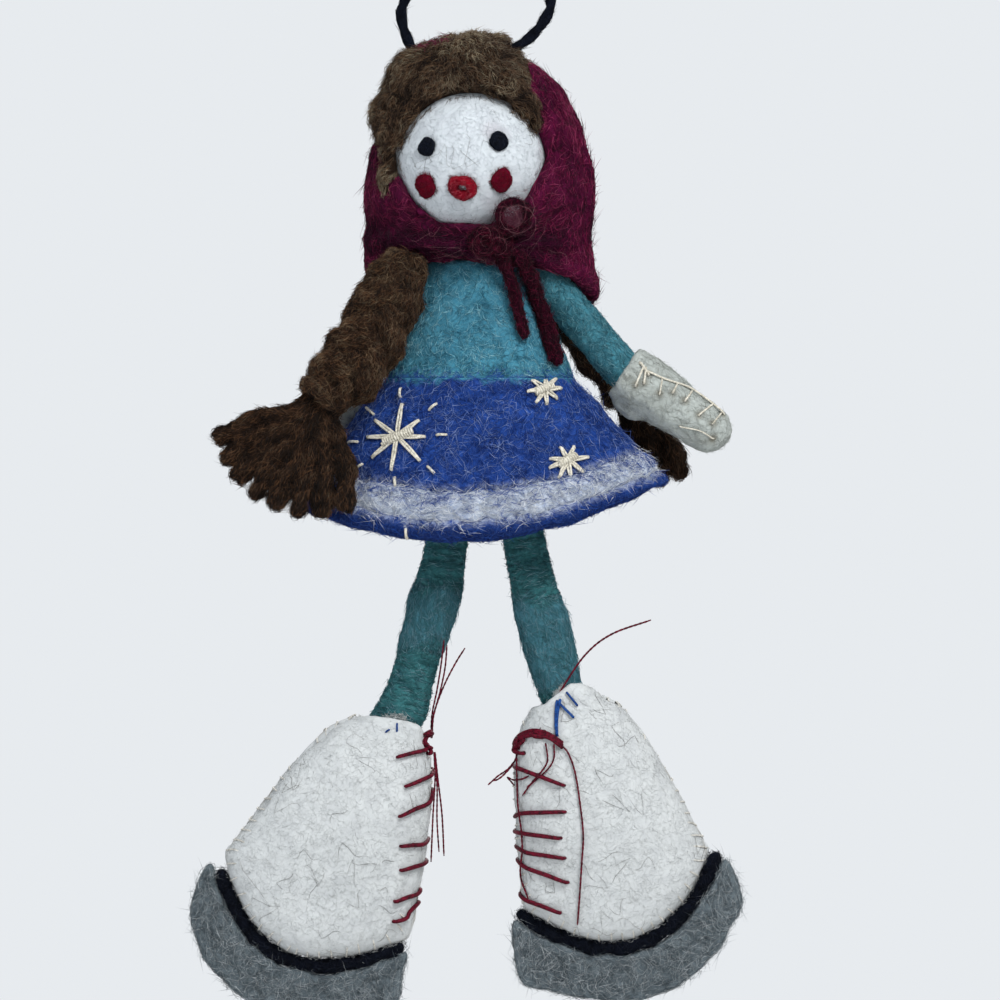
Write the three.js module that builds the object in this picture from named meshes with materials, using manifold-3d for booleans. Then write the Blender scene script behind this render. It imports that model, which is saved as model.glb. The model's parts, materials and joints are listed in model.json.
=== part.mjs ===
// Needle-felted doll ornament, a skater that hangs from a loop of yarn.
// Millimetres, +Z up, the doll looks along -Y and its left hand is on +X.
// The origin is where a hook would carry the loop: the inside of its top.
import * as THREE from 'three';
import { mergeVertices } from 'three/addons/utils/BufferGeometryUtils.js';
import Module from 'manifold-3d';

const wasm = await Module();
wasm.setup();

// Clearance between neighbouring pieces
const gap = 0.3;

// Hanging loop
const loopCord = 2.4;
const loopHeight = 79;
const loopHalfWidth = 20;
const loopExitLeft = 6.9;
const loopExitRight = -14.6;
const loopSink = 0.5;

// Head, measured from the neck at the top of the bodice
const headRadius = 17.2;
const headSide = -2.2;
const chinRise = 3.2;

// Face
const eyeRadius = 2.0;
const eyeSpacing = 15.4;
const eyeShift = 1.1;
const eyeRise = 3.1;
const cheekRadius = 2.6;
const cheekSpacing = 16.4;
const cheekDrop = 5.3;
const mouthRadius = 2.3;
const mouthThickness = 0.85;
const mouthDrop = 6.3;
const feltPadThickness = 0.9;

// Hair
const hairWidth = 36.4;
const hairDepth = 37;
const hairHeight = 37.4;
const hairSide = -2.5;
const hairBack = 2.5;
const hairRise = 9.1;
const hairlineSlope = 16.5;
const hairlineRise = 8.7;
const fringeRadius = 2.8;
const fringeArcRadius = 17.5;
const fringeFrom = 29;
const fringeTo = 202;
const foreheadRadius = 16.4;

// Kerchief: a hood that narrows to the tie and spreads to a short cape
const hoodHalfWidth = 25;
const hoodHalfDepth = 21.5;
const hoodTop = 45;
const hoodWidest = 12;
const hoodBack = 4.5;
const pinchHalfWidth = 23.8;
const pinchHalfDepth = 15.5;
const pinchRise = 4;
const capeHalfWidth = 25.6;
const capeHalfDepth = 18.5;
const capeWall = 4.5;
const capeDrop = 6.6;
const faceOpeningHalfWidth = 17.2;
const faceOpeningHalfHeight = 15.6;
const faceOpeningRise = 1.4;
const tieRadius = 1.6;
const knotRadius = 2.9;
const knotSide = 4.3;
const upperLoopRadius = 3.2;
const lowerLoopRadius = 2.3;
const bowStrand = 1.1;
const shortTailLength = 17;
const longTailLength = 22;
const tailRadius = 1.2;

// Wool core, bodice and skirt
const neckRadius = 5;
const neckSeat = 3.6;
const bodiceLength = 26.4;
const bodiceWall = 4.2;
const bodiceTopHalfWidth = 11.6;
const bodiceTopHalfDepth = 8.8;
const waistHalfWidth = 20.2;
const waistHalfDepth = 14;
const hipHeight = 15.6;
const hipHalfWidth = 14;
const hipHalfDepth = 9.4;
const hemHalfWidth = 39.2;
const hemHalfDepth = 22;
const skirtFrontDrop = 35;
const skirtSideDrop = 25.5;
const skirtWall = 4.2;
const skirtTilt = 0.075;
const skirtWave = 0.6;
const bandWidth = 6.5;
const bandFromHem = 5;
const bandDepth = 1.3;

// Arms
const armRadius = 4.2;
const wireRadius = 0.6;
const shoulderLeft = new THREE.Vector3(13.3, 0, -4.7);
const wristLeft = new THREE.Vector3(31.4, 0, -25.4);
const fingertipLeft = new THREE.Vector3(53.2, 0, -40.2);
const shoulderRight = new THREE.Vector3(-13, 2.6, -5.4);
const wristRight = new THREE.Vector3(-27.8, 9.6, -28);
const fingertipRight = new THREE.Vector3(-40.2, 15.8, -49.2);
const mittenRadius = 6.5;
const cuffRadius = 5.3;
const handInCuff = 5;
const thumbRadius = 2.3;

// Braids
const braidRadius = 6.4;
const braidRootRadius = 4.4;
const braidNeckRadius = 2.6;
const braidTieCord = 2.0;
const braidRootRight = new THREE.Vector3(-17, -9, -4);
const braidEndRight = new THREE.Vector3(-33.2, -13.4, -30);
const braidRootLeft = new THREE.Vector3(15, 11.6, -3.2);
const braidEndLeft = new THREE.Vector3(30, 15.4, -29);
const hiddenBraidRadius = 5;
const hiddenBraidRootRadius = 4;
const tasselLength = 22.6;
const hiddenTasselLength = 17.6;
const tasselStrand = 2.2;
const tasselStrands = 8;
const tasselFrom = 193;
const tasselTo = 291;
const tasselBack = 2.4;
const tasselFront = -5.1;
const hiddenTasselStrands = 4;
const hiddenTasselFrom = 264;
const hiddenTasselTo = 306;
const hiddenTasselBack = 2.6;
const hiddenTasselFront = 0.4;

// Legs
const legRadius = 4.5;
const calfRadius = 5.1;
const hipRight = -4.9;
const hipLeft = 6.0;
const legInBoot = 9;
const bootTopRight = new THREE.Vector3(-18.3, 0, -100.4);
const bootTopLeft = new THREE.Vector3(17.6, 0, -94.6);
const bootTiltRight = 25.5;
const bootTiltLeft = -16.5;

// Boots
const bootTopHalfWidth = 7.2;
const bootSoleHalfWidth = 21;
const bootSideHeight = 41.3;
const bootSoleDrop = 13.2;
const bootDepth = 7.6;
const bootMouthDepth = 5.6;
const feltThickness = 2;
const soleCord = 2.8;
const bladeThickness = 3;
const bladeDepth = 9.4;
const bladeToeOverhang = 2.4;
const bladeToeDrop = 4.4;
const bladeHeelOverhang = 0.6;

// Positions that follow from the sizes
const headCentre = new THREE.Vector3(headSide, 0, headRadius + chinRise);
const hairCentre = headCentre.clone().add(new THREE.Vector3(hairSide, hairBack, hairRise));
const waistHeight = -bodiceLength;
const hipPivotHeight = waistHeight - hipHeight;
const yAxis = new THREE.Vector3(0, 1, 0);

// The colours of the wool, the yarn and the felt
const hairColour = { color: 0x5f4630, roughness: 1, metalness: 0 };
const kerchiefColour = { color: 0x781432, roughness: 1, metalness: 0 };
const bodiceColour = { color: 0x4696a5, roughness: 1, metalness: 0 };
const skirtColour = { color: 0x2f4fa0, roughness: 1, metalness: 0 };
const whiteWool = { color: 0xd7d7d7, roughness: 1, metalness: 0 };
const coreWool = { color: 0xcfc8b8, roughness: 1, metalness: 0 };
const sleeveColour = { color: 0x4b7d82, roughness: 1, metalness: 0 };
const legColour = { color: 0x3c6e6e, roughness: 1, metalness: 0 };
const yarnColour = { color: 0x14161e, roughness: 0.95, metalness: 0 };
const bladeColour = { color: 0x8c8c91, roughness: 1, metalness: 0 };
const cheekColour = { color: 0xa01428, roughness: 1, metalness: 0 };
const steel = { color: 0xa0a0a0, roughness: 0.4, metalness: 1 };

// Signed volume, used to turn every closed surface outward
function signedVolume(geometry) {
  const p = geometry.getAttribute('position');
  const index = geometry.getIndex();
  const a = new THREE.Vector3();
  const b = new THREE.Vector3();
  const c = new THREE.Vector3();
  let sum = 0;
  for (let i = 0; i < index.count; i += 3) {
    a.fromBufferAttribute(p, index.getX(i));
    b.fromBufferAttribute(p, index.getX(i + 1));
    c.fromBufferAttribute(p, index.getX(i + 2));
    sum += a.dot(b.cross(c)) / 6;
  }
  return sum;
}

function surface(points, faces) {
  const geometry = new THREE.BufferGeometry();
  const flat = points.flatMap((p) => [p.x, p.y, p.z]);
  geometry.setAttribute('position', new THREE.Float32BufferAttribute(flat, 3));
  geometry.setIndex(faces.flat());
  if (signedVolume(geometry) < 0) {
    geometry.setIndex(faces.map((f) => [f[0], f[2], f[1]]).flat());
  }
  return geometry;
}

// Booleans
function toManifold(geometry) {
  const bare = geometry.clone();
  bare.deleteAttribute('normal');
  bare.deleteAttribute('uv');
  const merged = mergeVertices(bare, 1e-5);
  const vertProperties = new Float32Array(merged.getAttribute('position').array);
  const triVerts = new Uint32Array(merged.getIndex().array);
  return new wasm.Manifold(new wasm.Mesh({ numProp: 3, vertProperties, triVerts }));
}

function toGeometry(manifold) {
  const mesh = manifold.getMesh();
  const geometry = new THREE.BufferGeometry();
  const positions = new THREE.BufferAttribute(new Float32Array(mesh.vertProperties), 3);
  geometry.setAttribute('position', positions);
  geometry.setIndex(new THREE.BufferAttribute(new Uint32Array(mesh.triVerts), 1));
  return geometry;
}

function cut(geometry, tools) {
  let body = toManifold(geometry);
  for (const tool of tools) {
    body = body.subtract(toManifold(tool));
  }
  return toGeometry(body);
}

function join(geometries) {
  let body = toManifold(geometries[0]);
  for (const other of geometries.slice(1)) {
    body = body.add(toManifold(other));
  }
  return toGeometry(body);
}

function common(geometry, other) {
  return toGeometry(toManifold(geometry).intersect(toManifold(other)));
}

// The largest piece of a cut body, without the crumbs that a cut can leave
function mainPiece(geometry) {
  const parts = toManifold(geometry).decompose();
  parts.sort((a, b) => b.volume() - a.volume());
  return toGeometry(parts[0]);
}

// Closed bodies through rings: a sealed one ends in two fans, a sleeve runs back into itself
function sealed(rings) {
  const points = rings.flat();
  const n = rings[0].length;
  const faces = [];
  for (let i = 0; i + 1 < rings.length; i += 1) {
    for (let j = 0; j < n; j += 1) {
      const a = i * n + j;
      const b = i * n + ((j + 1) % n);
      faces.push([a, b, b + n], [a, b + n, a + n]);
    }
  }
  for (const [start, flip] of [[0, true], [(rings.length - 1) * n, false]]) {
    const centre = new THREE.Vector3();
    for (let j = 0; j < n; j += 1) {
      centre.addScaledVector(points[start + j], 1 / n);
    }
    const c = points.push(centre) - 1;
    for (let j = 0; j < n; j += 1) {
      const a = start + j;
      const b = start + ((j + 1) % n);
      faces.push(flip ? [c, b, a] : [c, a, b]);
    }
  }
  return surface(points, faces);
}

function sleeve(rings) {
  const points = rings.flat();
  const n = rings[0].length;
  const faces = [];
  for (let i = 0; i < rings.length; i += 1) {
    const next = (i + 1) % rings.length;
    for (let j = 0; j < n; j += 1) {
      const k = (j + 1) % n;
      faces.push([i * n + j, i * n + k, next * n + k], [i * n + j, next * n + k, next * n + j]);
    }
  }
  return surface(points, faces);
}

// A felt panel between an outer and an inner grid of points
function panelBetween(outer, inner) {
  const rows = outer.length;
  const columns = outer[0].length;
  const points = [...outer.flat(), ...inner.flat()];
  const id = (side, i, j) => side * rows * columns + i * columns + j;
  const faces = [];
  for (let i = 0; i + 1 < rows; i += 1) {
    for (let j = 0; j + 1 < columns; j += 1) {
      for (const side of [0, 1]) {
        const quad = [id(side, i, j), id(side, i, j + 1), id(side, i + 1, j + 1), id(side, i + 1, j)];
        if (side === 1) {
          quad.reverse();
        }
        faces.push([quad[0], quad[1], quad[2]], [quad[0], quad[2], quad[3]]);
      }
    }
  }
  const edge = [];
  for (let j = 0; j < columns; j += 1) {
    edge.push([0, j]);
  }
  for (let i = 1; i < rows; i += 1) {
    edge.push([i, columns - 1]);
  }
  for (let j = columns - 2; j >= 0; j -= 1) {
    edge.push([rows - 1, j]);
  }
  for (let i = rows - 2; i > 0; i -= 1) {
    edge.push([i, 0]);
  }
  edge.forEach(([i, j], k) => {
    const [m, n] = edge[(k + 1) % edge.length];
    faces.push([id(0, i, j), id(1, i, j), id(1, m, n)], [id(0, i, j), id(1, m, n), id(0, m, n)]);
  });
  return surface(points, faces);
}

// A limb of wool: round sections along a curve, its ends rounded off
function limb(
  points, radiusAt, { sides = 12, steps = 10, capStart = 3, capEnd = 3, grow = 0, turn = 0 } = {},
) {
  const curve = new THREE.CatmullRomCurve3(points, false, 'centripetal');
  const frames = curve.computeFrenetFrames(steps, false);
  const rings = [];
  const ringAt = (centre, t, radius, normal, binormal) => {
    const ring = [];
    for (let j = 0; j < sides; j += 1) {
      const angle = (2 * Math.PI * j) / sides + turn;
      ring.push(
        centre
          .clone()
          .addScaledVector(normal, radius * Math.cos(angle))
          .addScaledVector(binormal, radius * Math.sin(angle)),
      );
    }
    return ring;
  };
  for (let i = 0; i <= steps; i += 1) {
    const t = i / steps;
    const centre = curve.getPointAt(t);
    const radius = radiusAt(t) + grow;
    const tangent = frames.tangents[i];
    const cap = i === 0 ? capStart : i === steps ? capEnd : 0;
    const sign = i === 0 ? -1 : 1;
    const extra = [];
    for (let k = 1; k <= cap; k += 1) {
      const angle = (k / (cap + 0.35)) * (Math.PI / 2);
      extra.push(
        ringAt(
          centre.clone().addScaledVector(tangent, sign * radius * Math.sin(angle)),
          t,
          radius * Math.cos(angle),
          frames.normals[i],
          frames.binormals[i],
        ),
      );
    }
    const ring = ringAt(centre, t, radius, frames.normals[i], frames.binormals[i]);
    if (i === 0) {
      rings.push(...extra.reverse(), ring);
    } else {
      rings.push(ring, ...extra);
    }
  }
  return sealed(rings);
}

function ball(centre, radii, widthSegments = 20, heightSegments = 14) {
  const geometry = new THREE.SphereGeometry(1, widthSegments, heightSegments);
  geometry.rotateX(Math.PI / 2);
  geometry.scale(radii.x, radii.y, radii.z);
  geometry.translate(centre.x, centre.y, centre.z);
  return geometry;
}

function round(radius) {
  return new THREE.Vector3(radius, radius, radius);
}

// A ring of yarn whose axis is given
function ring(centre, axis, major, minor, around = 20, sides = 8) {
  const geometry = new THREE.TorusGeometry(major, minor, sides, around);
  const turn = new THREE.Quaternion().setFromUnitVectors(
    new THREE.Vector3(0, 0, 1),
    axis.clone().normalize(),
  );
  geometry.applyQuaternion(turn);
  geometry.translate(centre.x, centre.y, centre.z);
  return geometry;
}

// The half space on the side of a plane that its normal points to, as a big block
function beyond(point, normal) {
  const size = 300;
  const geometry = new THREE.BoxGeometry(size, size, size);
  geometry.translate(0, 0, size / 2);
  const turn = new THREE.Quaternion().setFromUnitVectors(
    new THREE.Vector3(0, 0, 1),
    normal.clone().normalize(),
  );
  geometry.applyQuaternion(turn);
  geometry.translate(point.x, point.y, point.z);
  return geometry;
}

// The room round a limb's root that it needs while it swings about a pivot: a ball that
// widens into a wedge, from one angle to the other along the swing
function swingRoom(pivot, along, aside, radius, from, to, reach) {
  const direction = along.clone().normalize();
  const across = direction.clone().cross(aside).normalize();
  const swing = across.clone().cross(direction);
  const low = Math.tan(THREE.MathUtils.degToRad(from));
  const high = Math.tan(THREE.MathUtils.degToRad(to));
  const slanted = 1 / Math.cos(THREE.MathUtils.degToRad(Math.max(Math.abs(from), Math.abs(to))));
  const rings = [];
  const n = 12;
  const addRing = (distance, size, extra, widen) => {
    const middle = pivot
      .clone()
      .addScaledVector(direction, distance)
      .addScaledVector(swing, (extra * (low + high)) / 2);
    const ringPoints = [];
    for (let j = 0; j < n; j += 1) {
      const angle = (2 * Math.PI * j) / n;
      ringPoints.push(
        middle
          .clone()
          .addScaledVector(across, size * Math.cos(angle))
          .addScaledVector(swing, (size * widen + (extra * (high - low)) / 2) * Math.sin(angle)),
      );
    }
    rings.push(ringPoints);
  };
  for (const angle of [75, 50, 25]) {
    const turn = THREE.MathUtils.degToRad(angle);
    addRing(-radius * Math.sin(turn), radius * Math.cos(turn), 0, 1);
  }
  addRing(0, radius, 0, slanted);
  addRing(reach / 2, radius, reach / 2, slanted);
  addRing(reach, radius, reach, slanted);
  return sealed(rings);
}

function piece(name, geometry, look) {
  const mesh = new THREE.Mesh(geometry, new THREE.MeshStandardMaterial(look));
  mesh.name = name;
  return mesh;
}

const toward = (from, to, share) => from.clone().lerp(to, share);

// Arms run from the shoulder to inside the mitten's cuff
function armPath(shoulder, wrist, fingertip) {
  const hand = fingertip.clone().sub(wrist).normalize();
  const cuff = wrist.clone();
  return [
    shoulder,
    toward(shoulder, cuff, 0.5),
    cuff,
    cuff.clone().addScaledVector(hand, handInCuff),
  ];
}

const armPathLeft = armPath(shoulderLeft, wristLeft, fingertipLeft);
const armPathRight = armPath(shoulderRight, wristRight, fingertipRight);

function armBody(path, grow = 0) {
  return limb(path, () => armRadius, { sides: 12, steps: 8, capEnd: 2, grow });
}

// Braids
function braidPath(root, end, bulge) {
  return [
    root,
    toward(root, end, 0.35).add(bulge.clone().multiplyScalar(0.7)),
    toward(root, end, 0.7).add(bulge.clone().multiplyScalar(0.6)),
    end,
  ];
}

const braidPathRight = braidPath(braidRootRight, braidEndRight, new THREE.Vector3(1.6, 0, 0.6));
const braidPathLeft = braidPath(braidRootLeft, braidEndLeft, new THREE.Vector3(-1, 0.6, 0));

function braidBody(path, radius, rootRadius, grow = 0) {
  const profile = (t) => {
    const swell = Math.sin((Math.PI / 2) * Math.min(1, t / 0.22));
    const waist = Math.max(0, (t - 0.7) / 0.3) ** 1.6;
    return rootRadius + (radius - rootRadius) * swell - (radius - braidNeckRadius) * waist;
  };
  return limb(path, profile, { sides: 12, steps: 10, capEnd: 1, grow });
}

// Swings that the neighbours leave room for, in degrees
const armLeftBack = -6;
const armLeftForward = 34;
const armRightBack = 30;
const braidForward = 34;
const braidBack = 24;
const legSwing = 24;
const dollSwing = 60;

const limbClear = gap * 2;
const armRoomLeft = swingRoom(
  shoulderLeft, wristLeft.clone().sub(shoulderLeft), yAxis,
  armRadius + limbClear, -armLeftForward, -armLeftBack, 20,
);
const armRoomRight = swingRoom(
  shoulderRight, wristRight.clone().sub(shoulderRight), yAxis,
  armRadius + limbClear, -4, armRightBack, 24,
);
const braidRoomRight = swingRoom(
  braidRootRight, braidPathRight[1].clone().sub(braidRootRight), yAxis,
  braidRadius + limbClear, -braidForward, 4, 14,
);
const braidRoomLeft = swingRoom(
  braidRootLeft, braidPathLeft[1].clone().sub(braidRootLeft), yAxis,
  hiddenBraidRadius + limbClear, -4, braidBack, 14,
);

// Wool core: a neck that the head is pushed onto, the torso's filling and the hips
function ellipseRing(z, halfWidth, halfDepth, n, centreY = 0) {
  const ringPoints = [];
  for (let j = 0; j < n; j += 1) {
    const angle = (2 * Math.PI * j) / n;
    ringPoints.push(
      new THREE.Vector3(halfWidth * Math.cos(angle), centreY + halfDepth * Math.sin(angle), z),
    );
  }
  return ringPoints;
}

// Half width and half depth of the bodice, t = 0 at the neck and 1 at the waist
function bodiceSize(t) {
  return [
    bodiceTopHalfWidth + (waistHalfWidth - bodiceTopHalfWidth) * t ** 1.15,
    bodiceTopHalfDepth + (waistHalfDepth - bodiceTopHalfDepth) * t,
  ];
}

const shoulderDrop = 3;
const bodySides = 22;

function coreBody(grow = 0) {
  const rings = [
    ellipseRing(neckSeat + grow, neckRadius - 0.8 + grow, neckRadius - 0.8 + grow, bodySides),
    ellipseRing(0, neckRadius + grow, neckRadius + grow, bodySides),
  ];
  for (let i = 0; i <= 4; i += 1) {
    const t = i / 4;
    const [width, depth] = bodiceSize(t);
    const z = -shoulderDrop - 1.5 - (bodiceLength - shoulderDrop - 1.5) * t;
    rings.push(
      ellipseRing(z, width - bodiceWall - gap + grow, depth - bodiceWall - gap + grow, bodySides),
    );
  }
  rings.push(
    ellipseRing(hipPivotHeight + 5, hipHalfWidth + grow, hipHalfDepth + grow, bodySides),
    ellipseRing(hipPivotHeight + 1, hipHalfWidth - 1.2 + grow, hipHalfDepth - 1.2 + grow, bodySides),
    ellipseRing(hipPivotHeight - 1.6 - grow, hipHalfWidth - 5, hipHalfDepth - 4, bodySides),
  );
  return sealed(rings);
}

function bodiceShell() {
  const outer = [];
  const inner = [];
  outer.push(ellipseRing(-0.6, neckRadius + 1.4, neckRadius + 1.4, bodySides));
  inner.push(ellipseRing(-0.6, neckRadius + gap, neckRadius + gap, bodySides));
  const steps = 7;
  for (let i = 0; i <= steps; i += 1) {
    const t = i / steps;
    const [width, depth] = bodiceSize(t);
    const top = i === 0 ? 0.55 : 1;
    const z = -shoulderDrop * (i === 0 ? 0.55 : 1) - (bodiceLength - shoulderDrop) * t;
    const last = i === steps ? waistHeight : z;
    const narrow = 1 - 0.18 * (1 - top);
    outer.push(ellipseRing(last, width * narrow, depth * narrow, bodySides));
  }
  for (let i = 0; i <= 4; i += 1) {
    const t = i / 4;
    const [width, depth] = bodiceSize(t);
    const z = -shoulderDrop - 1.5 - (bodiceLength - shoulderDrop - 1.5) * t;
    inner.push(ellipseRing(z, width - bodiceWall, depth - bodiceWall, bodySides));
  }
  return sleeve([...outer, ...inner.reverse()]);
}

// Skirt: a bell of felt, its hem lowest in front and behind and tilted up on the left
function skirtPoint(angle, s, inset) {
  const grow = s ** 0.85;
  const wave = skirtWave * s * s * Math.cos(7 * angle + 0.6);
  const halfWidth = waistHalfWidth + (hemHalfWidth - waistHalfWidth) * grow - inset + wave;
  const halfDepth = waistHalfDepth + (hemHalfDepth - waistHalfDepth) * grow - inset + wave;
  const x = halfWidth * Math.cos(angle);
  const y = halfDepth * Math.sin(angle);
  const drop = skirtFrontDrop - (skirtFrontDrop - skirtSideDrop) * Math.cos(angle) ** 2;
  return new THREE.Vector3(x, y, waistHeight - gap - s * drop + s * skirtTilt * x);
}

const skirtSides = 32;

function skirtRing(s, inset) {
  const points = [];
  for (let j = 0; j < skirtSides; j += 1) {
    points.push(skirtPoint((2 * Math.PI * j) / skirtSides, s, inset));
  }
  return points;
}

const slant = Math.hypot(skirtFrontDrop, hemHalfDepth - waistHalfDepth);
const bandEnd = 1 - bandFromHem / slant;
const bandStart = bandEnd - bandWidth / slant;
const seam = gap / slant;

function skirtBell() {
  const outer = [0, bandStart / 3, (bandStart * 2) / 3, bandStart].map((s) => skirtRing(s, 0));
  outer.push(skirtRing(bandStart, bandDepth), skirtRing(bandEnd, bandDepth));
  outer.push(skirtRing(bandEnd, 0), skirtRing(0.97, 0), skirtRing(1, skirtWall * 0.28));
  const inner = [1, 0.75, 0.5, 0.25].map((s) => skirtRing(s, skirtWall * (s === 1 ? 0.8 : 1)));
  inner.push(skirtRing(0.1, skirtWall), skirtRing(0, bodiceWall));
  return sleeve([...outer, ...inner]);
}

function skirtInlay() {
  const start = bandStart + seam;
  const end = bandEnd - seam;
  return sleeve([
    skirtRing(start, 0.25),
    skirtRing((start + end) / 2, -0.1),
    skirtRing(end, 0.25),
    skirtRing(end, bandDepth - gap),
    skirtRing(start, bandDepth - gap),
  ]);
}

// Head, hair and face
function headBall(grow = 0, across = 22) {
  return ball(headCentre, round(headRadius + grow), across, Math.round(across * 0.66));
}

// A pad felted onto the face at an offset from the middle of the head
function onFace(x, z) {
  const y = -Math.sqrt(headRadius ** 2 - x ** 2 - z ** 2);
  return new THREE.Vector3(x, y, z).add(headCentre);
}

function pad(centre, width, height, grow = 0) {
  const geometry = new THREE.SphereGeometry(1, 10, 5);
  geometry.scale(width + grow, height + grow, feltPadThickness + grow);
  const outward = centre.clone().sub(headCentre).normalize();
  const side = new THREE.Vector3().crossVectors(new THREE.Vector3(0, 0, 1), outward).normalize();
  const up = new THREE.Vector3().crossVectors(outward, side);
  geometry.applyMatrix4(new THREE.Matrix4().makeBasis(side, up, outward));
  geometry.translate(centre.x, centre.y, centre.z);
  return geometry;
}

const faceShift = eyeShift - 1.2;
const eyeLeftAt = onFace(faceShift + eyeSpacing / 2 - 1.4, eyeRise + 0.6);
const eyeRightAt = onFace(faceShift - eyeSpacing / 2 - 1.4, eyeRise - 0.6);
const cheekLeftAt = onFace(faceShift + cheekSpacing / 2 - 1.2, -cheekDrop + 0.6);
const cheekRightAt = onFace(faceShift - cheekSpacing / 2 - 1.2, -cheekDrop - 0.6);
const mouthAt = onFace(faceShift - 1.5, -mouthDrop);

function mouthRing(grow = 0) {
  const outward = mouthAt.clone().sub(headCentre);
  return ring(mouthAt, outward, mouthRadius, mouthThickness + grow, 14, 6);
}

function crownMass(grow = 0, across = 22) {
  const radii = new THREE.Vector3(hairWidth / 2 + grow, hairDepth / 2 + grow, hairHeight / 2 + grow);
  const slope = THREE.MathUtils.degToRad(hairlineSlope);
  const normal = new THREE.Vector3(-Math.sin(slope), 0, Math.cos(slope));
  const point = headCentre.clone().addScaledVector(normal, hairlineRise - grow);
  return common(ball(hairCentre, radii, across, Math.round(across * 0.6)), beyond(point, normal));
}

// The roll lies on the ball of the head, so where it is thinner it lies further back
function fringeRoll(grow = 0) {
  const profile = (t) => fringeRadius * (0.42 + 0.58 * Math.sin(Math.PI * Math.min(1, 0.12 + t)) ** 0.8);
  const points = [];
  const count = 10;
  for (let i = 0; i <= count; i += 1) {
    const share = i / count;
    const angle = THREE.MathUtils.degToRad(fringeFrom + (fringeTo - fringeFrom) * share);
    const reach = headRadius + gap + profile(share);
    const forward = Math.sqrt(reach ** 2 - fringeArcRadius ** 2) + 0.25;
    points.push(
      new THREE.Vector3(
        headCentre.x + fringeArcRadius * Math.cos(angle),
        headCentre.y - forward,
        headCentre.z + fringeArcRadius * Math.sin(angle),
      ),
    );
  }
  return limb(points, profile, { sides: 8, steps: 14, capStart: 1, capEnd: 1, grow });
}

// The loop's two ends sit in the top of the hair, level with each other
const loopLeftExit = new THREE.Vector3(loopExitLeft, 0, 0);
const loopRightExit = new THREE.Vector3(loopExitRight, 0, 0);
for (const exit of [loopLeftExit, loopRightExit]) {
  const share = (exit.x - hairCentre.x) / (hairWidth / 2);
  exit.y = hairCentre.y;
  exit.z = hairCentre.z + (hairHeight / 2) * Math.sqrt(1 - share ** 2) - loopSink;
}
const swingHeight = (loopLeftExit.z + loopRightExit.z) / 2;
loopLeftExit.z = swingHeight;
loopRightExit.z = swingHeight;

// Hanging loop, in the doll's frame, from one exit over the hook to the other
const loopTop = swingHeight + loopHeight;
const loopRoute = [
  new THREE.Vector3(loopExitRight, hairCentre.y, swingHeight),
  new THREE.Vector3(loopExitRight - 1.8, hairCentre.y, swingHeight + 4.6),
  new THREE.Vector3(loopExitRight - 2.3, hairCentre.y, swingHeight + 8.4),
  new THREE.Vector3(loopExitRight - 1.2, hairCentre.y, swingHeight + 13),
  new THREE.Vector3(loopExitRight - 2.6, hairCentre.y, swingHeight + 22),
  new THREE.Vector3(-loopHalfWidth, hairCentre.y, swingHeight + 38),
  new THREE.Vector3(-loopHalfWidth + 1.5, hairCentre.y, swingHeight + 55),
  new THREE.Vector3(-loopHalfWidth + 6.5, hairCentre.y, swingHeight + 69),
  new THREE.Vector3(-loopHalfWidth + 13.5, hairCentre.y, loopTop + loopCord / 2 - 1.6),
  new THREE.Vector3(0, hairCentre.y, loopTop + loopCord / 2),
  new THREE.Vector3(loopHalfWidth - 13.5, hairCentre.y, loopTop + loopCord / 2 - 1.6),
  new THREE.Vector3(loopHalfWidth - 6.5, hairCentre.y, swingHeight + 69),
  new THREE.Vector3(loopHalfWidth - 1.5, hairCentre.y, swingHeight + 55),
  new THREE.Vector3(loopHalfWidth, hairCentre.y, swingHeight + 38),
  new THREE.Vector3(loopHalfWidth - 2.4, hairCentre.y, swingHeight + 24),
  new THREE.Vector3(loopExitLeft + 8.4, hairCentre.y, swingHeight + 13),
  new THREE.Vector3(loopExitLeft + 8, hairCentre.y, swingHeight + 8.4),
  new THREE.Vector3(loopExitLeft + 4.4, hairCentre.y, swingHeight + 3.2),
  new THREE.Vector3(loopExitLeft, hairCentre.y, swingHeight),
];

function loopTube(points, steps, grow = 0) {
  return limb(points, () => loopCord / 2, { sides: 8, steps, capStart: 2, capEnd: 2, grow });
}

// The loop swings fore and aft in two stitch holes, long enough for dollSwing
function stitchHole(exit) {
  const radius = loopCord / 2 + gap * 1.5;
  const length = radius / Math.cos(THREE.MathUtils.degToRad(dollSwing)) + loopSink + 0.7;
  return ball(exit, new THREE.Vector3(radius + 0.7, length, radius), 12, 8);
}

// Kerchief
function hoodRings() {
  const rings = [];
  const n = 24;
  for (let i = 1; i <= 6; i += 1) {
    const angle = (i / 6) * (Math.PI / 2);
    rings.push(
      ellipseRing(
        hoodWidest + (hoodTop - hoodWidest) * Math.cos(angle),
        hoodHalfWidth * Math.sin(angle),
        hoodHalfDepth * Math.sin(angle),
        n,
        hoodBack,
      ),
    );
  }
  rings.push(ellipseRing(pinchRise + 3.6, hoodHalfWidth - 0.3, pinchHalfDepth + 1.8, n, hoodBack));
  rings.push(ellipseRing(pinchRise, pinchHalfWidth, pinchHalfDepth, n, hoodBack));
  rings.push(ellipseRing(pinchRise - 4, capeHalfWidth - 0.8, pinchHalfDepth + 0.8, n, hoodBack));
  rings.push(ellipseRing(-capeDrop, capeHalfWidth, capeHalfDepth - 1, n, hoodBack));
  rings.push(ellipseRing(-capeDrop * 3, capeHalfWidth + 0.6, capeHalfDepth, n, hoodBack));
  return rings;
}

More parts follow.
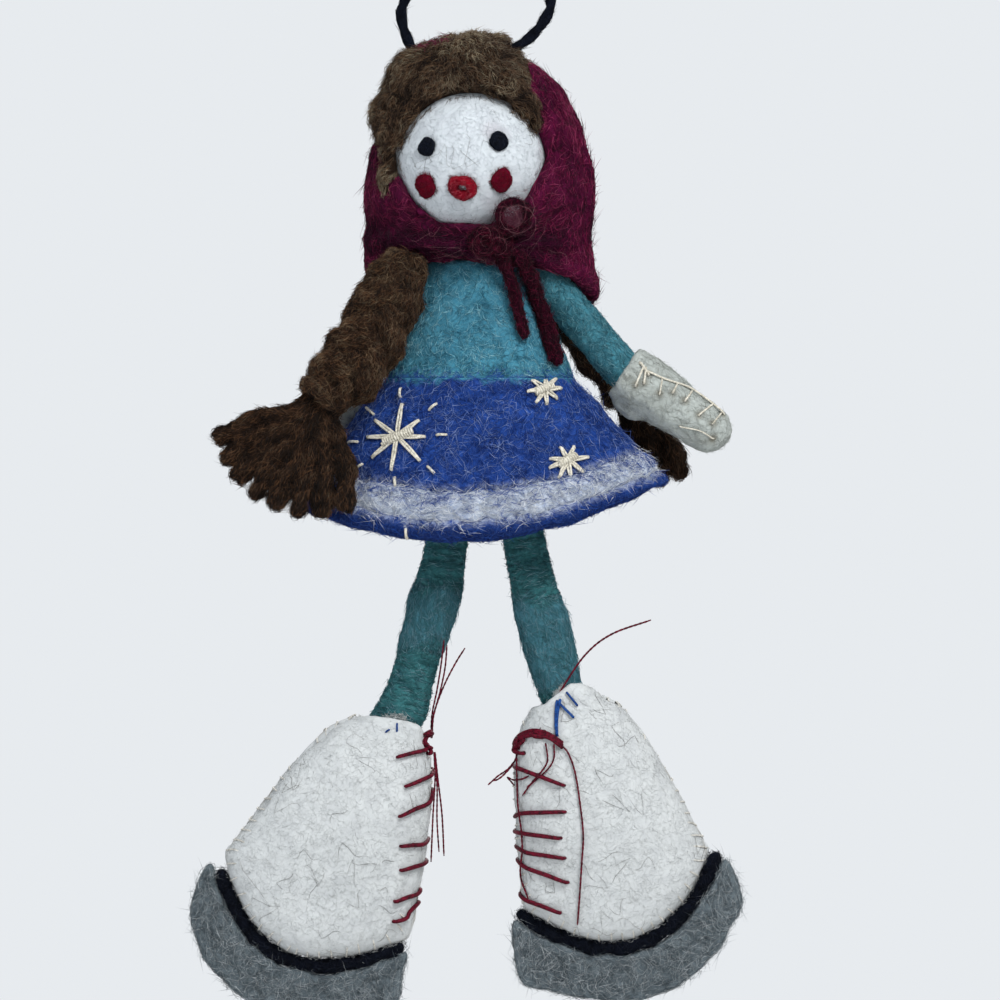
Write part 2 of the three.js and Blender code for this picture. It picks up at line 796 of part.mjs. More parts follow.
function capeHollow() {
  const n = 24;
  const width = capeHalfWidth - capeWall;
  const depth = capeHalfDepth - capeWall;
  return sealed([
    ellipseRing(0.6, width * 0.72, depth * 0.66, n, hoodBack),
    ellipseRing(-2.6, width * 0.95, depth * 0.9, n, hoodBack),
    ellipseRing(-capeDrop, width, depth - 0.4, n, hoodBack),
    ellipseRing(-capeDrop * 3.4, width + 0.6, depth, n, hoodBack),
  ]);
}

function tiePath() {
  const points = [];
  for (let i = 0; i <= 8; i += 1) {
    const angle = THREE.MathUtils.degToRad(176 + (134 * i) / 8);
    points.push(
      new THREE.Vector3(
        (pinchHalfWidth + 0.2) * Math.cos(angle),
        hoodBack + (pinchHalfDepth + 0.9) * Math.sin(angle),
        pinchRise - 0.2 - 2.6 * Math.sin((Math.PI * i) / 11) ** 2,
      ),
    );
  }
  return points;
}

function tieBand(grow = 0) {
  return limb(tiePath(), () => tieRadius, { sides: 8, steps: 12, capStart: 1, capEnd: 1, grow });
}

const knotShare = knotSide / pinchHalfWidth;
const tieFront = hoodBack - (pinchHalfDepth + 0.9) * Math.sqrt(1 - knotShare ** 2);
const knotAt = new THREE.Vector3(knotSide, tieFront - 0.5, pinchRise - 2.2);

function knotBall(grow = 0) {
  return ball(knotAt, round(knotRadius + grow), 12, 8);
}

const upperLoopAt = knotAt.clone().add(
  new THREE.Vector3(2.8, -2.9, knotRadius + upperLoopRadius + 0.1),
);
const lowerLoopAt = knotAt.clone().add(
  new THREE.Vector3(-knotRadius - 0.3, -2.3, lowerLoopRadius * 0.4),
);

function bowLoop(centre, radius, grow = 0) {
  return ring(centre, yAxis, radius, bowStrand + grow, 16, 6);
}

// Front of the bodice at a given x and z, where the tails of the bow lie
function bodiceFront(x, z) {
  const t = Math.min(1, Math.max(0, (-z - shoulderDrop) / (bodiceLength - shoulderDrop)));
  const [width, depth] = bodiceSize(t);
  return -depth * Math.sqrt(Math.max(0.05, 1 - (x / width) ** 2));
}

function bowTail(startX, lean, length) {
  const points = [];
  const start = knotAt.z - knotRadius * 0.75;
  const count = 5;
  for (let i = 0; i <= count; i += 1) {
    const share = i / count;
    const x = startX + lean * share ** 0.8 * length;
    const z = start - share * length;
    const lie = Math.min(1, share * 2.6);
    const hanging = bodiceFront(x, z) - tailRadius - gap - 0.4;
    points.push(new THREE.Vector3(x, knotAt.y * (1 - lie) + hanging * lie - 0.4, z));
  }
  return points;
}

function tailStrand(points, grow = 0) {
  return limb(points, () => tailRadius, { sides: 6, steps: 7, capStart: 1, capEnd: 1, grow });
}

const shortTail = bowTail(knotAt.x + 0.2, 0.3, shortTailLength);
const longTail = bowTail(knotAt.x + 4.2, 0.36, longTailLength);

// Legs and boots share the boot's axis, which the boot can turn about
function bootAxis(tilt) {
  const angle = THREE.MathUtils.degToRad(tilt);
  return new THREE.Vector3(-Math.sin(angle), 0, -Math.cos(angle));
}

function legPath(hipX, bootTop, tilt, bow) {
  const axis = bootAxis(tilt);
  const hip = new THREE.Vector3(hipX, 0, hipPivotHeight);
  const ankle = bootTop.clone().addScaledVector(axis, -5);
  return [
    hip,
    toward(hip, ankle, 0.36).add(new THREE.Vector3(bow, 0, 0)),
    toward(hip, ankle, 0.62).add(new THREE.Vector3(bow, 0, 0)),
    ankle,
    bootTop.clone().addScaledVector(axis, -1.5),
    bootTop.clone().addScaledVector(axis, 2),
    bootTop.clone().addScaledVector(axis, legInBoot),
  ];
}

function legProfile(t) {
  const calf = Math.exp(-(((t - 0.5) / 0.16) ** 2));
  const ankle = Math.exp(-(((t - 0.84) / 0.05) ** 2));
  return legRadius + (calfRadius - legRadius) * calf + 0.5 * ankle * 0.6;
}

function legBody(path, grow = 0) {
  return limb(path, legProfile, { sides: 12, steps: 12, capEnd: 1, grow });
}

const legPathRight = legPath(hipRight, bootTopRight, bootTiltRight, 1.8);
const legPathLeft = legPath(hipLeft, bootTopLeft, bootTiltLeft, -0.6);
const legRooms = [[legPathRight, hipRight], [legPathLeft, hipLeft]].map(([path, hip]) =>
  swingRoom(path[0], path[1].clone().sub(path[0]), yAxis, legRadius + limbClear, -legSwing, legSwing, 7),
);

function wire(path, from, beyondEnd, radius) {
  const last = path[path.length - 1];
  const before = path[path.length - 2];
  const end = last.clone().add(last.clone().sub(before).normalize().multiplyScalar(beyondEnd));
  const points = [toward(path[0], path[1], from), ...path.slice(1), end];
  return limb(points, () => radius, { sides: 6, steps: 9, capStart: 0, capEnd: 0 });
}

const wireReach = 1.2;
const wireBore = wireRadius + gap;

function cored(body, path) {
  return mainPiece(cut(body, [wire(path, 0.1, wireReach + 8, wireBore)]));
}

// Boot outline in its own frame: the axis runs down -Z, s goes across and t from top to sole
function bootPoint(s, t, toe, offset = 0) {
  const side = bootTopHalfWidth + (bootSoleHalfWidth - bootTopHalfWidth) * t ** 0.55;
  const height = bootSideHeight + bootSoleDrop * (1 - s * s);
  const point = new THREE.Vector3(toe * s * side, 0, -t * height);
  const slope = Math.atan2(2 * bootSoleDrop * s, bootSoleHalfWidth);
  point.x += toe * offset * Math.sin(slope);
  point.z -= offset * Math.cos(slope);
  return point;
}

function bootBulge(s, t) {
  const across = Math.sqrt(Math.max(0, 1 - s ** 4));
  const along = Math.sqrt(Math.max(0, 1 - t ** 5));
  const swell = Math.sin(Math.PI * Math.min(1, t * 1.3)) ** 0.8;
  return (bootMouthDepth + (bootDepth - bootMouthDepth) * swell) * across * along;
}

function bootGrid(toe, face, depthAt, sMax, tFrom, tTo, m = 10, n = 8) {
  const rows = [];
  for (let i = 0; i <= n; i += 1) {
    const row = [];
    const t = tFrom + (tTo - tFrom) * Math.sin((Math.PI / 2) * (i / n)) ** 1.1;
    for (let j = 0; j <= m; j += 1) {
      const s = sMax * Math.sin((Math.PI / 2) * (-1 + (2 * j) / m));
      const point = bootPoint(s, t, toe);
      point.y = face * depthAt(s, t);
      row.push(point);
    }
    rows.push(row);
  }
  return rows;
}

function bootPanel(toe, face, hole) {
  const outer = bootGrid(toe, face, (s, t) => gap / 2 + feltThickness + bootBulge(s, t), 1, 0, 1);
  const inner = bootGrid(toe, face, (s, t) => gap / 2 + bootBulge(s, t), 1, 0, 1);
  return mainPiece(cut(panelBetween(outer, inner), [hole]));
}

function bootFilling(toe, hole) {
  const depth = (s, t) => Math.max(0.4, bootBulge(s, t) - gap * 2.4);
  const front = bootGrid(toe, -1, depth, 0.88, 0.16, 0.94, 6, 6);
  const back = bootGrid(toe, 1, depth, 0.88, 0.16, 0.94, 6, 6);
  return mainPiece(cut(panelBetween(front, back), [hole]));
}

function soleCordTube(toe) {
  const points = [];
  for (let i = 0; i <= 10; i += 1) {
    const s = -1 + (2 * i) / 10;
    points.push(bootPoint(s, 1, toe, gap + soleCord / 2));
  }
  return limb(points, () => soleCord / 2, { sides: 8, steps: 11, capStart: 2, capEnd: 2 });
}

function bladePlate(toe) {
  const shape = new THREE.Shape();
  const top = [];
  for (let i = 0; i <= 12; i += 1) {
    const s = -1 + (2 * i) / 12;
    top.push(bootPoint(s, 1, 1, gap * 2 + soleCord));
  }
  top.forEach((p, i) => {
    if (i === 0) {
      shape.moveTo(p.x, p.z);
    } else {
      shape.lineTo(p.x, p.z);
    }
  });
  const toeTop = top[top.length - 1];
  const heelTop = top[0];
  const lowest = -(bootSideHeight + bootSoleDrop + gap * 2 + soleCord + bladeDepth);
  const toeBottom = toeTop.z - bladeDepth - bladeToeDrop;
  shape.lineTo(toeTop.x + bladeToeOverhang, toeBottom + 3);
  shape.lineTo(toeTop.x + bladeToeOverhang - 0.6, toeBottom);
  shape.bezierCurveTo(12, lowest + 2.4, 6, lowest, -2, lowest);
  shape.bezierCurveTo(
    -11, lowest,
    heelTop.x - 1, heelTop.z - bladeDepth - 4,
    heelTop.x - bladeHeelOverhang, heelTop.z - bladeDepth + 1,
  );
  shape.quadraticCurveTo(heelTop.x - bladeHeelOverhang - 0.6, heelTop.z - 2.6, heelTop.x, heelTop.z);
  const geometry = new THREE.ExtrudeGeometry(shape, {
    depth: bladeThickness, bevelEnabled: false, curveSegments: 8,
  });
  geometry.rotateX(Math.PI / 2);
  geometry.translate(0, bladeThickness / 2, 0);
  if (toe < 0) {
    geometry.rotateZ(Math.PI);
  }
  return geometry;
}

function boot(side, toe, bootTop, tilt, path) {
  const group = new THREE.Group();
  group.position.copy(bootTop);
  group.rotation.y = THREE.MathUtils.degToRad(tilt);
  const hole = legBody(path, gap);
  hole.translate(-bootTop.x, -bootTop.y, -bootTop.z);
  hole.rotateY(-group.rotation.y);
  group.add(
    piece(`boot_${side}_front_panel`, bootPanel(toe, -1, hole), whiteWool),
    piece(`boot_${side}_back_panel`, bootPanel(toe, 1, hole), whiteWool),
    piece(`boot_${side}_stuffing`, bootFilling(toe, hole), coreWool),
    piece(`boot_${side}_sole_cord`, soleCordTube(toe), yarnColour),
    piece(`boot_${side}_blade`, bladePlate(toe), bladeColour),
  );
  return group;
}

// Mittens: a stuffed bag whose cuff takes the end of the arm
function mitten(wrist, fingertip, path, thumbSide) {
  const along = fingertip.clone().sub(wrist).normalize();
  const start = wrist.clone().addScaledVector(along, -0.6);
  const end = fingertip.clone().addScaledVector(along, -mittenRadius * 0.8);
  const swell = (t) => Math.sin(Math.PI * Math.min(1, 0.25 + t)) ** 0.8;
  const profile = (t) => cuffRadius + (mittenRadius - cuffRadius) * swell(t);
  const bag = limb(
    [start, toward(start, end, 0.4), toward(start, end, 0.75), end],
    profile,
    { sides: 12, steps: 6, capStart: 0, capEnd: 3 },
  );
  const across = along.clone().cross(yAxis).normalize().multiplyScalar(thumbSide);
  const thumbAt = start.clone().addScaledVector(along, 3).addScaledVector(across, cuffRadius);
  const thumb = limb(
    [thumbAt, thumbAt.clone().addScaledVector(along, 4).addScaledVector(across, 0.6)],
    () => thumbRadius,
    { sides: 8, steps: 2, capStart: 2, capEnd: 2 },
  );
  return mainPiece(cut(join([bag, thumb]), [armBody(path, gap), wire(path, 0.1, wireReach, wireBore)]));
}

// Tassels: thick yarn strands that fan out of the braid's tie
function tassel(end, before, count, length, from, to, back, front) {
  const along = end.clone().sub(before).normalize();
  const rootRadius = tasselStrand * 1.2;
  const root = end.clone().addScaledVector(along, braidNeckRadius + gap + rootRadius);
  const strands = [ball(root, round(rootRadius), 10, 7)];
  for (let i = 0; i < count; i += 1) {
    const share = i / (count - 1);
    const angle = THREE.MathUtils.degToRad(from + (to - from) * share);
    const y = end.y + back + (front - back) * share;
    const tip = new THREE.Vector3(
      root.x + length * Math.cos(angle),
      y,
      root.z + length * Math.sin(angle),
    );
    const start = toward(root, tip, 0.012 * (i % 3));
    const bend = toward(root, tip, 0.5);
    bend.z += 1.6 * Math.cos(angle) ** 2;
    bend.y += (y - root.y) * 0.25;
    const profile = (t) => tasselStrand * (0.72 + 0.42 * Math.sin(Math.PI * Math.min(1, t * 0.9 + 0.05)));
    strands.push(
      limb([start, bend, tip], profile, { sides: 5, steps: 2, capStart: 1, capEnd: 1, turn: 0.2 * i }),
    );
  }
  return join(strands);
}

function braidTie(end, before, inner) {
  const along = end.clone().sub(before).normalize();
  const centre = end.clone().addScaledVector(along, 0.4);
  return ring(centre, along, inner + gap + braidTieCord / 2, braidTieCord / 2, 14, 6);
}

// Assemble
const doll = new THREE.Group();
const bodyParts = new THREE.Group();

const core = cut(coreBody(), legRooms);
const facePads = [
  pad(eyeLeftAt, eyeRadius, eyeRadius, gap),
  pad(eyeRightAt, eyeRadius, eyeRadius, gap),
  pad(cheekLeftAt, cheekRadius * 0.92, cheekRadius, gap),
  pad(cheekRightAt, cheekRadius * 0.92, cheekRadius, gap),
  mouthRing(gap),
];
const head = mainPiece(cut(headBall(), [...facePads, coreBody(gap)]));
const forehead = new THREE.CylinderGeometry(foreheadRadius, foreheadRadius, 60, 20);
forehead.translate(headCentre.x, headCentre.y - 32, headCentre.z);
const crown = mainPiece(
  cut(crownMass(), [
    headBall(gap * 1.4, 20), forehead, fringeRoll(gap), stitchHole(loopLeftExit), stitchHole(loopRightExit),
  ]),
);
const bodice = mainPiece(cut(bodiceShell(), [headBall(gap), armRoomLeft, armRoomRight]));
const skirt = skirtBell();

const faceOpening = new THREE.CylinderGeometry(1, 1, 60, 24);
faceOpening.scale(faceOpeningHalfWidth, 1, faceOpeningHalfHeight);
faceOpening.translate(headCentre.x, -30, headCentre.z + faceOpeningRise);
const capeEdgeNormal = new THREE.Vector3(-0.094, -0.4, -1);
const kerchief = mainPiece(
  cut(sealed(hoodRings()), [
    beyond(new THREE.Vector3(0, hoodBack, -capeDrop), capeEdgeNormal),
    headBall(gap * 1.4, 18),
    crownMass(gap * 2.2, 16),
    fringeRoll(gap),
    faceOpening,
    capeHollow(),
    tieBand(gap),
    knotBall(gap),
    tailStrand(longTail, gap),
    bodiceHull(gap),
    coreBody(gap),
    armRoomLeft,
    armRoomRight,
    braidRoomRight,
    braidRoomLeft,
  ]),
);

function bodiceHull(grow) {
  const rings = [ellipseRing(0, neckRadius + 1.6 + grow, neckRadius + 1.6 + grow, bodySides)];
  for (let i = 0; i <= 4; i += 1) {
    const t = i / 4;
    const [width, depth] = bodiceSize(t);
    const z = -shoulderDrop * 0.55 - (bodiceLength - shoulderDrop * 0.55) * t;
    rings.push(ellipseRing(z, width + grow, depth + grow, bodySides));
  }
  return sealed(rings);
}

const upperLoop = bowLoop(upperLoopAt, upperLoopRadius);
const lowerLoop = bowLoop(lowerLoopAt, lowerLoopRadius);
const knotRoom = knotBall(gap);
const tieRoom = tieBand(gap);
const shortTailPiece = mainPiece(cut(tailStrand(shortTail), [knotRoom, tieRoom]));
const longTailPiece = mainPiece(cut(tailStrand(longTail), [knotRoom, tieRoom]));

bodyParts.add(
  piece('body_core', core, coreWool),
  piece('bodice', bodice, bodiceColour),
  piece('skirt', skirt, skirtColour),
  piece('skirt_band', skirtInlay(), whiteWool),
  piece('head', head, whiteWool),
  piece('eye_left', pad(eyeLeftAt, eyeRadius, eyeRadius), yarnColour),
  piece('eye_right', pad(eyeRightAt, eyeRadius, eyeRadius), yarnColour),
  piece('cheek_left', pad(cheekLeftAt, cheekRadius * 0.92, cheekRadius), cheekColour),
  piece('cheek_right', pad(cheekRightAt, cheekRadius * 0.92, cheekRadius), cheekColour),
  piece('mouth', mouthRing(), cheekColour),
  piece('hair_crown', crown, hairColour),
  piece('hair_fringe', fringeRoll(), hairColour),
  piece('kerchief', kerchief, kerchiefColour),
  piece('kerchief_tie', tieBand(), kerchiefColour),
  piece('bow_knot', cut(knotBall(), [tieRoom]), kerchiefColour),
  piece('bow_loop_upper', mainPiece(cut(upperLoop, [knotRoom])), kerchiefColour),
  piece(
    'bow_loop_lower',
    mainPiece(cut(lowerLoop, [knotRoom, bowLoop(upperLoopAt, upperLoopRadius, gap)])),
    kerchiefColour,
  ),
  piece('bow_tail_short', shortTailPiece, kerchiefColour),
  piece('bow_tail_long', longTailPiece, kerchiefColour),
);

const armLeft = cored(armBody(armPathLeft), armPathLeft);
const armRight = cored(armBody(armPathRight), armPathRight);
bodyParts.add(
  piece('arm_left', armLeft, sleeveColour),
  piece('arm_left_wire', wire(armPathLeft, 0.14, wireReach - gap, wireRadius), steel),
  piece('mitten_left', mitten(wristLeft, fingertipLeft, armPathLeft, -1), whiteWool),
  piece('arm_right', armRight, sleeveColour),
  piece('arm_right_wire', wire(armPathRight, 0.14, wireReach - gap, wireRadius), steel),
  piece('mitten_right', mitten(wristRight, fingertipRight, armPathRight, 1), whiteWool),
  piece('braid_right', braidBody(braidPathRight, braidRadius, braidRootRadius), hairColour),
  piece('braid_right_tie', braidTie(braidEndRight, braidPathRight[2], braidNeckRadius), hairColour),
  piece(
    'braid_right_tassel',
    tassel(
      braidEndRight, braidPathRight[2], tasselStrands, tasselLength,
      tasselFrom, tasselTo, tasselBack, tasselFront,
    ),
    hairColour,
  ),
  piece('braid_left', braidBody(braidPathLeft, hiddenBraidRadius, hiddenBraidRootRadius), hairColour),
  piece('braid_left_tie', braidTie(braidEndLeft, braidPathLeft[2], braidNeckRadius), hairColour),
  piece(
    'braid_left_tassel',
    tassel(
      braidEndLeft, braidPathLeft[2], hiddenTasselStrands, hiddenTasselLength,
      hiddenTasselFrom, hiddenTasselTo, hiddenTasselBack, hiddenTasselFront,
    ),
    hairColour,
  ),
  piece('leg_right', cored(legBody(legPathRight), legPathRight), legColour),
  piece('leg_right_wire', wire(legPathRight, 0.1, wireReach - gap, wireRadius), steel),
  piece('leg_left', cored(legBody(legPathLeft), legPathLeft), legColour),
  piece('leg_left_wire', wire(legPathLeft, 0.1, wireReach - gap, wireRadius), steel),
);
bodyParts.add(
  boot('right', 1, bootTopRight, bootTiltRight, legPathRight),
  boot('left', -1, bootTopLeft, bootTiltLeft, legPathLeft),
);
bodyParts.add(piece('hanger_loop', loopTube(loopRoute, 28), yarnColour));

doll.add(bodyParts);
bodyParts.position.set(0, -hairCentre.y, -loopTop);

export default doll;
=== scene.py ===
"""A needle-felted doll of an ice skater that hangs from a loop of black yarn.

Each felted form starts from its CAD solid, is felted soft and lumpy, and gets a coat of wool fibres.
Yarns, threads and stitches are drawn along lines on those forms.
"""

import bmesh
import bpy
import json
import math
import numpy as np
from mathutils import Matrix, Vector
from mathutils.bvhtree import BVHTree

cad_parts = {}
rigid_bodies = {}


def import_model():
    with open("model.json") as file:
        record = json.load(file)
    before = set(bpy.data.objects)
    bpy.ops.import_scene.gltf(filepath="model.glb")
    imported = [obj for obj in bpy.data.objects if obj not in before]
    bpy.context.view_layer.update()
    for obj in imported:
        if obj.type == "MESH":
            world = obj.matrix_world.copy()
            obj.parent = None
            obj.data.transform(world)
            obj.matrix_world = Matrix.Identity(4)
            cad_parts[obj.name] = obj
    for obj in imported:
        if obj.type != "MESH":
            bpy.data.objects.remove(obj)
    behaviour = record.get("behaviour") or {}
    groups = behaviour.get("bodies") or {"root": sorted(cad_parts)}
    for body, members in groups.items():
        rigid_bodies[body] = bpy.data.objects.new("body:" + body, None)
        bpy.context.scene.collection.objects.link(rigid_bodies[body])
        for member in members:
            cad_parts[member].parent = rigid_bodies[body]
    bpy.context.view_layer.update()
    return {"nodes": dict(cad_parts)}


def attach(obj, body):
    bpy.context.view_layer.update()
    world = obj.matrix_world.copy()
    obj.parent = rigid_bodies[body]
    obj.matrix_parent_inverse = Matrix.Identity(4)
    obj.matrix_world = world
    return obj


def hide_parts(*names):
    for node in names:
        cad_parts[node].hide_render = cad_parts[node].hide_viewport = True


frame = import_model()

MM = 0.001
MIDDLE = -2.5  # the plane of the doll's middle, along y, in mm
NECK_HEIGHT = -123.0505
NECK = Vector((0, MIDDLE, NECK_HEIGHT))  # the doll's neck, in mm from the top of the loop
PHOTO_SCALE = 0.215  # mm for a pixel of the photograph, at the doll
NECK_PIXEL = (480, 255)  # where the photograph shows the neck
PHOTO_WIDTH = 215  # mm across the photograph, at the doll
EYE_DISTANCE = 3600  # mm from the camera to the doll: far, so that near parts keep their size
EYE_POINT = Vector((4.3, -EYE_DISTANCE, -175.725))  # where the camera stands, in mm


# ---------------------------------------------------------------- small tools
def linear(red, green, blue):
    """A colour from 0 to 255 as the shader takes it."""
    made = []
    for value in (red, green, blue):
        v = value / 255
        made.append(v / 12.92 if v <= 0.04045 else ((v + 0.055) / 1.055) ** 2.4)
    return (*made, 1)


def neck(x, y, z):
    """A point measured from the neck, in mm."""
    return NECK + Vector((x, y, z))


def nothing_selected():
    if bpy.context.object and bpy.context.object.mode != "OBJECT":
        bpy.ops.object.mode_set(mode="OBJECT")
    bpy.ops.object.select_all(action="DESELECT")


def only(*pieces):
    nothing_selected()
    for piece in pieces:
        piece.select_set(True)
    bpy.context.view_layer.objects.active = pieces[0]


def worked(piece, kind, **values):
    """Adds a modifier to the piece and applies it."""
    only(piece)
    modifier = piece.modifiers.new(kind.title(), kind)
    for key, value in values.items():
        setattr(modifier, key, value)
    bpy.ops.object.modifier_apply(modifier=modifier.name)


def set_out(name, data):
    """A new object of the scene."""
    made = bpy.data.objects.new(name, data)
    bpy.context.scene.collection.objects.link(made)
    return made


def joined(name, pieces):
    only(*pieces)
    if len(pieces) > 1:
        bpy.ops.object.join()
    piece = bpy.context.view_layer.objects.active
    piece.name = piece.data.name = name
    return piece


def points_of(piece):
    co = np.zeros(len(piece.data.vertices) * 3)
    piece.data.vertices.foreach_get("co", co)
    return co.reshape(-1, 3) / MM


def normals_of(piece):
    n = np.zeros(len(piece.data.vertices) * 3)
    piece.data.vertices.foreach_get("normal", n)
    return n.reshape(-1, 3)


def set_points(piece, points):
    piece.data.vertices.foreach_set("co", (np.asarray(points) * MM).astype(np.float32).ravel())
    piece.data.update()


def mark(piece, name, values):
    """Keeps a value from 0 to 1 at each point of the piece, for its material."""
    attribute = piece.data.attributes.get(name)
    if attribute is None:
        attribute = piece.data.attributes.new(name, "FLOAT", "POINT")
    attribute.data.foreach_set("value", np.clip(values, 0, 1).astype(np.float32))


def placed(piece, body, material, replaces=()):
    """Gives a piece its material, its body and the solids that it stands for."""
    piece.data.materials.clear()
    piece.data.materials.append(material)
    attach(piece, body)
    if replaces:
        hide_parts(*replaces)


def ripple(points, size, seed):
    """A smooth random value from -1 to 1 that changes over about size mm."""
    rng = np.random.default_rng(seed)
    total = np.zeros(len(points))
    for _ in range(9):
        direction = rng.normal(size=3)
        direction *= (2 * math.pi / size) * rng.uniform(0.5, 1.3) / np.linalg.norm(direction)
        total += np.sin(points @ direction + rng.uniform(0, 6.3))
    return total / 4.2


def rising(value, start, over):
    """0 up to the start, and from there up to 1 over the given stretch."""
    return np.clip((value - start) / over, 0, 1)


def falling(value, start, over):
    """0 above the start, and from there down up to 1 over the given stretch."""
    return np.clip((start - value) / over, 0, 1)


def hump(value, middle, width):
    """1 at the middle, and nearly 0 from twice the width away."""
    return np.exp(-(((value - middle) / width) ** 2))


# ---------------------------------------------------------------- camera and stage
def make_camera():
    camera = bpy.data.cameras.new("camera")
    camera.sensor_width = 36
    camera.lens = camera.sensor_width * EYE_DISTANCE / PHOTO_WIDTH
    stand = set_out("camera", camera)
    stand.location = EYE_POINT * MM
    stand.rotation_euler = (math.pi / 2, 0, 0)
    bpy.context.scene.camera = stand


def lamp(name, place, target, size, power, tone=(1, 1, 1)):
    light = bpy.data.lights.new(name, "AREA")
    light.shape = "DISK"
    light.size = size
    light.energy = power
    light.color = tone
    stand = set_out(name, light)
    stand.location = place
    stand.rotation_euler = (Vector(target) - Vector(place)).to_track_quat("-Z", "Y").to_euler()


PALE = (0.80, 0.83, 0.86, 1)
FLOOR_HEIGHT = -0.345


def filled(tree, node, inputs):
    """Gives each named input of a node its value, or links it where a socket is given."""
    for key, value in inputs.items():
        if isinstance(value, bpy.types.NodeSocket):
            tree.links.new(value, node.inputs[key])
        else:
            node.inputs[key].default_value = value
    return node


def added(tree, kind, inputs, **settings):
    node = tree.nodes.new("ShaderNode" + kind)
    for key, value in settings.items():
        setattr(node, key, value)
    return filled(tree, node, inputs)


def worked_out(tree, operation, *values):
    """The result of a sum on one or two values or sockets."""
    return added(tree, "Math", dict(enumerate(values)), operation=operation).outputs[0]


def new_material(name):
    """A material, its node tree and its shader."""
    material = bpy.data.materials.new(name)
    material.use_nodes = True
    return material, material.node_tree, material.node_tree.nodes["Principled BSDF"]


def object_place(tree):
    return added(tree, "TexCoord", {}).outputs["Object"]


def two_tones(tree, value, first, second, low=0.0, high=1.0):
    """The colour between first at low and second at high."""
    ramp = added(tree, "ValToRGB", {0: value})
    for element, place, tone in zip(ramp.color_ramp.elements, (low, high), (first, second)):
        element.position = place
        element.color = tone
    return ramp.outputs[0]


def make_world():
    """A pale studio: even light, and the backdrop's own tone for the camera and in reflections."""
    world = bpy.data.worlds.new("studio")
    bpy.context.scene.world = world
    world.use_nodes = True
    tree = world.node_tree
    tree.nodes.clear()
    light = added(tree, "Background", {"Color": (0.93, 0.96, 1, 1), "Strength": 0.42})
    backdrop = added(tree, "Background", {"Color": PALE})
    path = added(tree, "LightPath", {})
    shown = worked_out(tree, "MAXIMUM", path.outputs["Is Camera Ray"], path.outputs["Is Glossy Ray"])
    shown = worked_out(tree, "MAXIMUM", shown, path.outputs["Is Transmission Ray"])
    mix = added(tree, "MixShader", {0: shown, 1: light.outputs[0], 2: backdrop.outputs[0]})
    added(tree, "OutputWorld", {0: mix.outputs[0]})


def make_floor():
    """A round floor that fades into the backdrop."""
    nothing_selected()
    bpy.ops.mesh.primitive_circle_add(
        vertices=96, radius=4, fill_type="NGON", location=(0, 0, FLOOR_HEIGHT)
    )
    floor = bpy.context.object
    floor.name = "floor"
    material, tree, shader = new_material("pale_floor")
    filled(tree, shader, {"Base Color": (0.8, 0.8, 0.8, 1), "Roughness": 0.9})
    glow = added(tree, "Emission", {"Color": PALE})
    away = added(tree, "VectorMath", {0: object_place(tree)}, operation="LENGTH").outputs["Value"]
    reach = added(tree, "MapRange", {"From Min": 0.12, "From Max": 0.5, "Value": away},
                  interpolation_type="SMOOTHSTEP")
    camera_ray = added(tree, "LightPath", {}).outputs["Is Camera Ray"]
    share = worked_out(tree, "MULTIPLY", reach.outputs[0], camera_ray)
    mix = added(tree, "MixShader", {0: share, 1: shader.outputs[0], 2: glow.outputs[0]})
    filled(tree, tree.nodes["Material Output"], {"Surface": mix.outputs[0]})
    floor.data.materials.append(material)


def make_stage():
    make_world()
    make_floor()
    middle = (0, 0, -0.17)
    lamp("window", (0.34, -0.72, 0.46), middle, 0.42, 9.6, (1, 0.995, 0.985))
    lamp("fill", (-0.8, -0.6, -0.05), middle, 0.7, 2.4, (0.92, 0.96, 1))
    lamp("back_light", (0.1, 0.9, 0.25), middle, 0.6, 5.0)


# ---------------------------------------------------------------- wool materials
def line_mask(tree, place, scale, distortion, width):
    """Thin curved lines, like loose fibres on the surface: 1 on a line and 0 beside it."""
    noise = added(tree, "TexNoise",
                  {"Scale": scale, "Detail": 1.5, "Distortion": distortion, "Vector": place})
    size = worked_out(tree, "ABSOLUTE", worked_out(tree, "SUBTRACT", noise.outputs[0], 0.5))
    return added(tree, "MapRange", {"From Min": width, "From Max": width * 0.25, "Value": size},
                 interpolation_type="SMOOTHSTEP").outputs[0]


def blended(tree, share, first, second):
    """The colour first at share 0 and second at share 1. Each is a value or a socket."""
    return added(tree, "Mix", {0: share, 6: first, 7: second}, data_type="RGBA").outputs[2]


def part_of(tree, value, amount):
    return worked_out(tree, "MULTIPLY", value, amount)


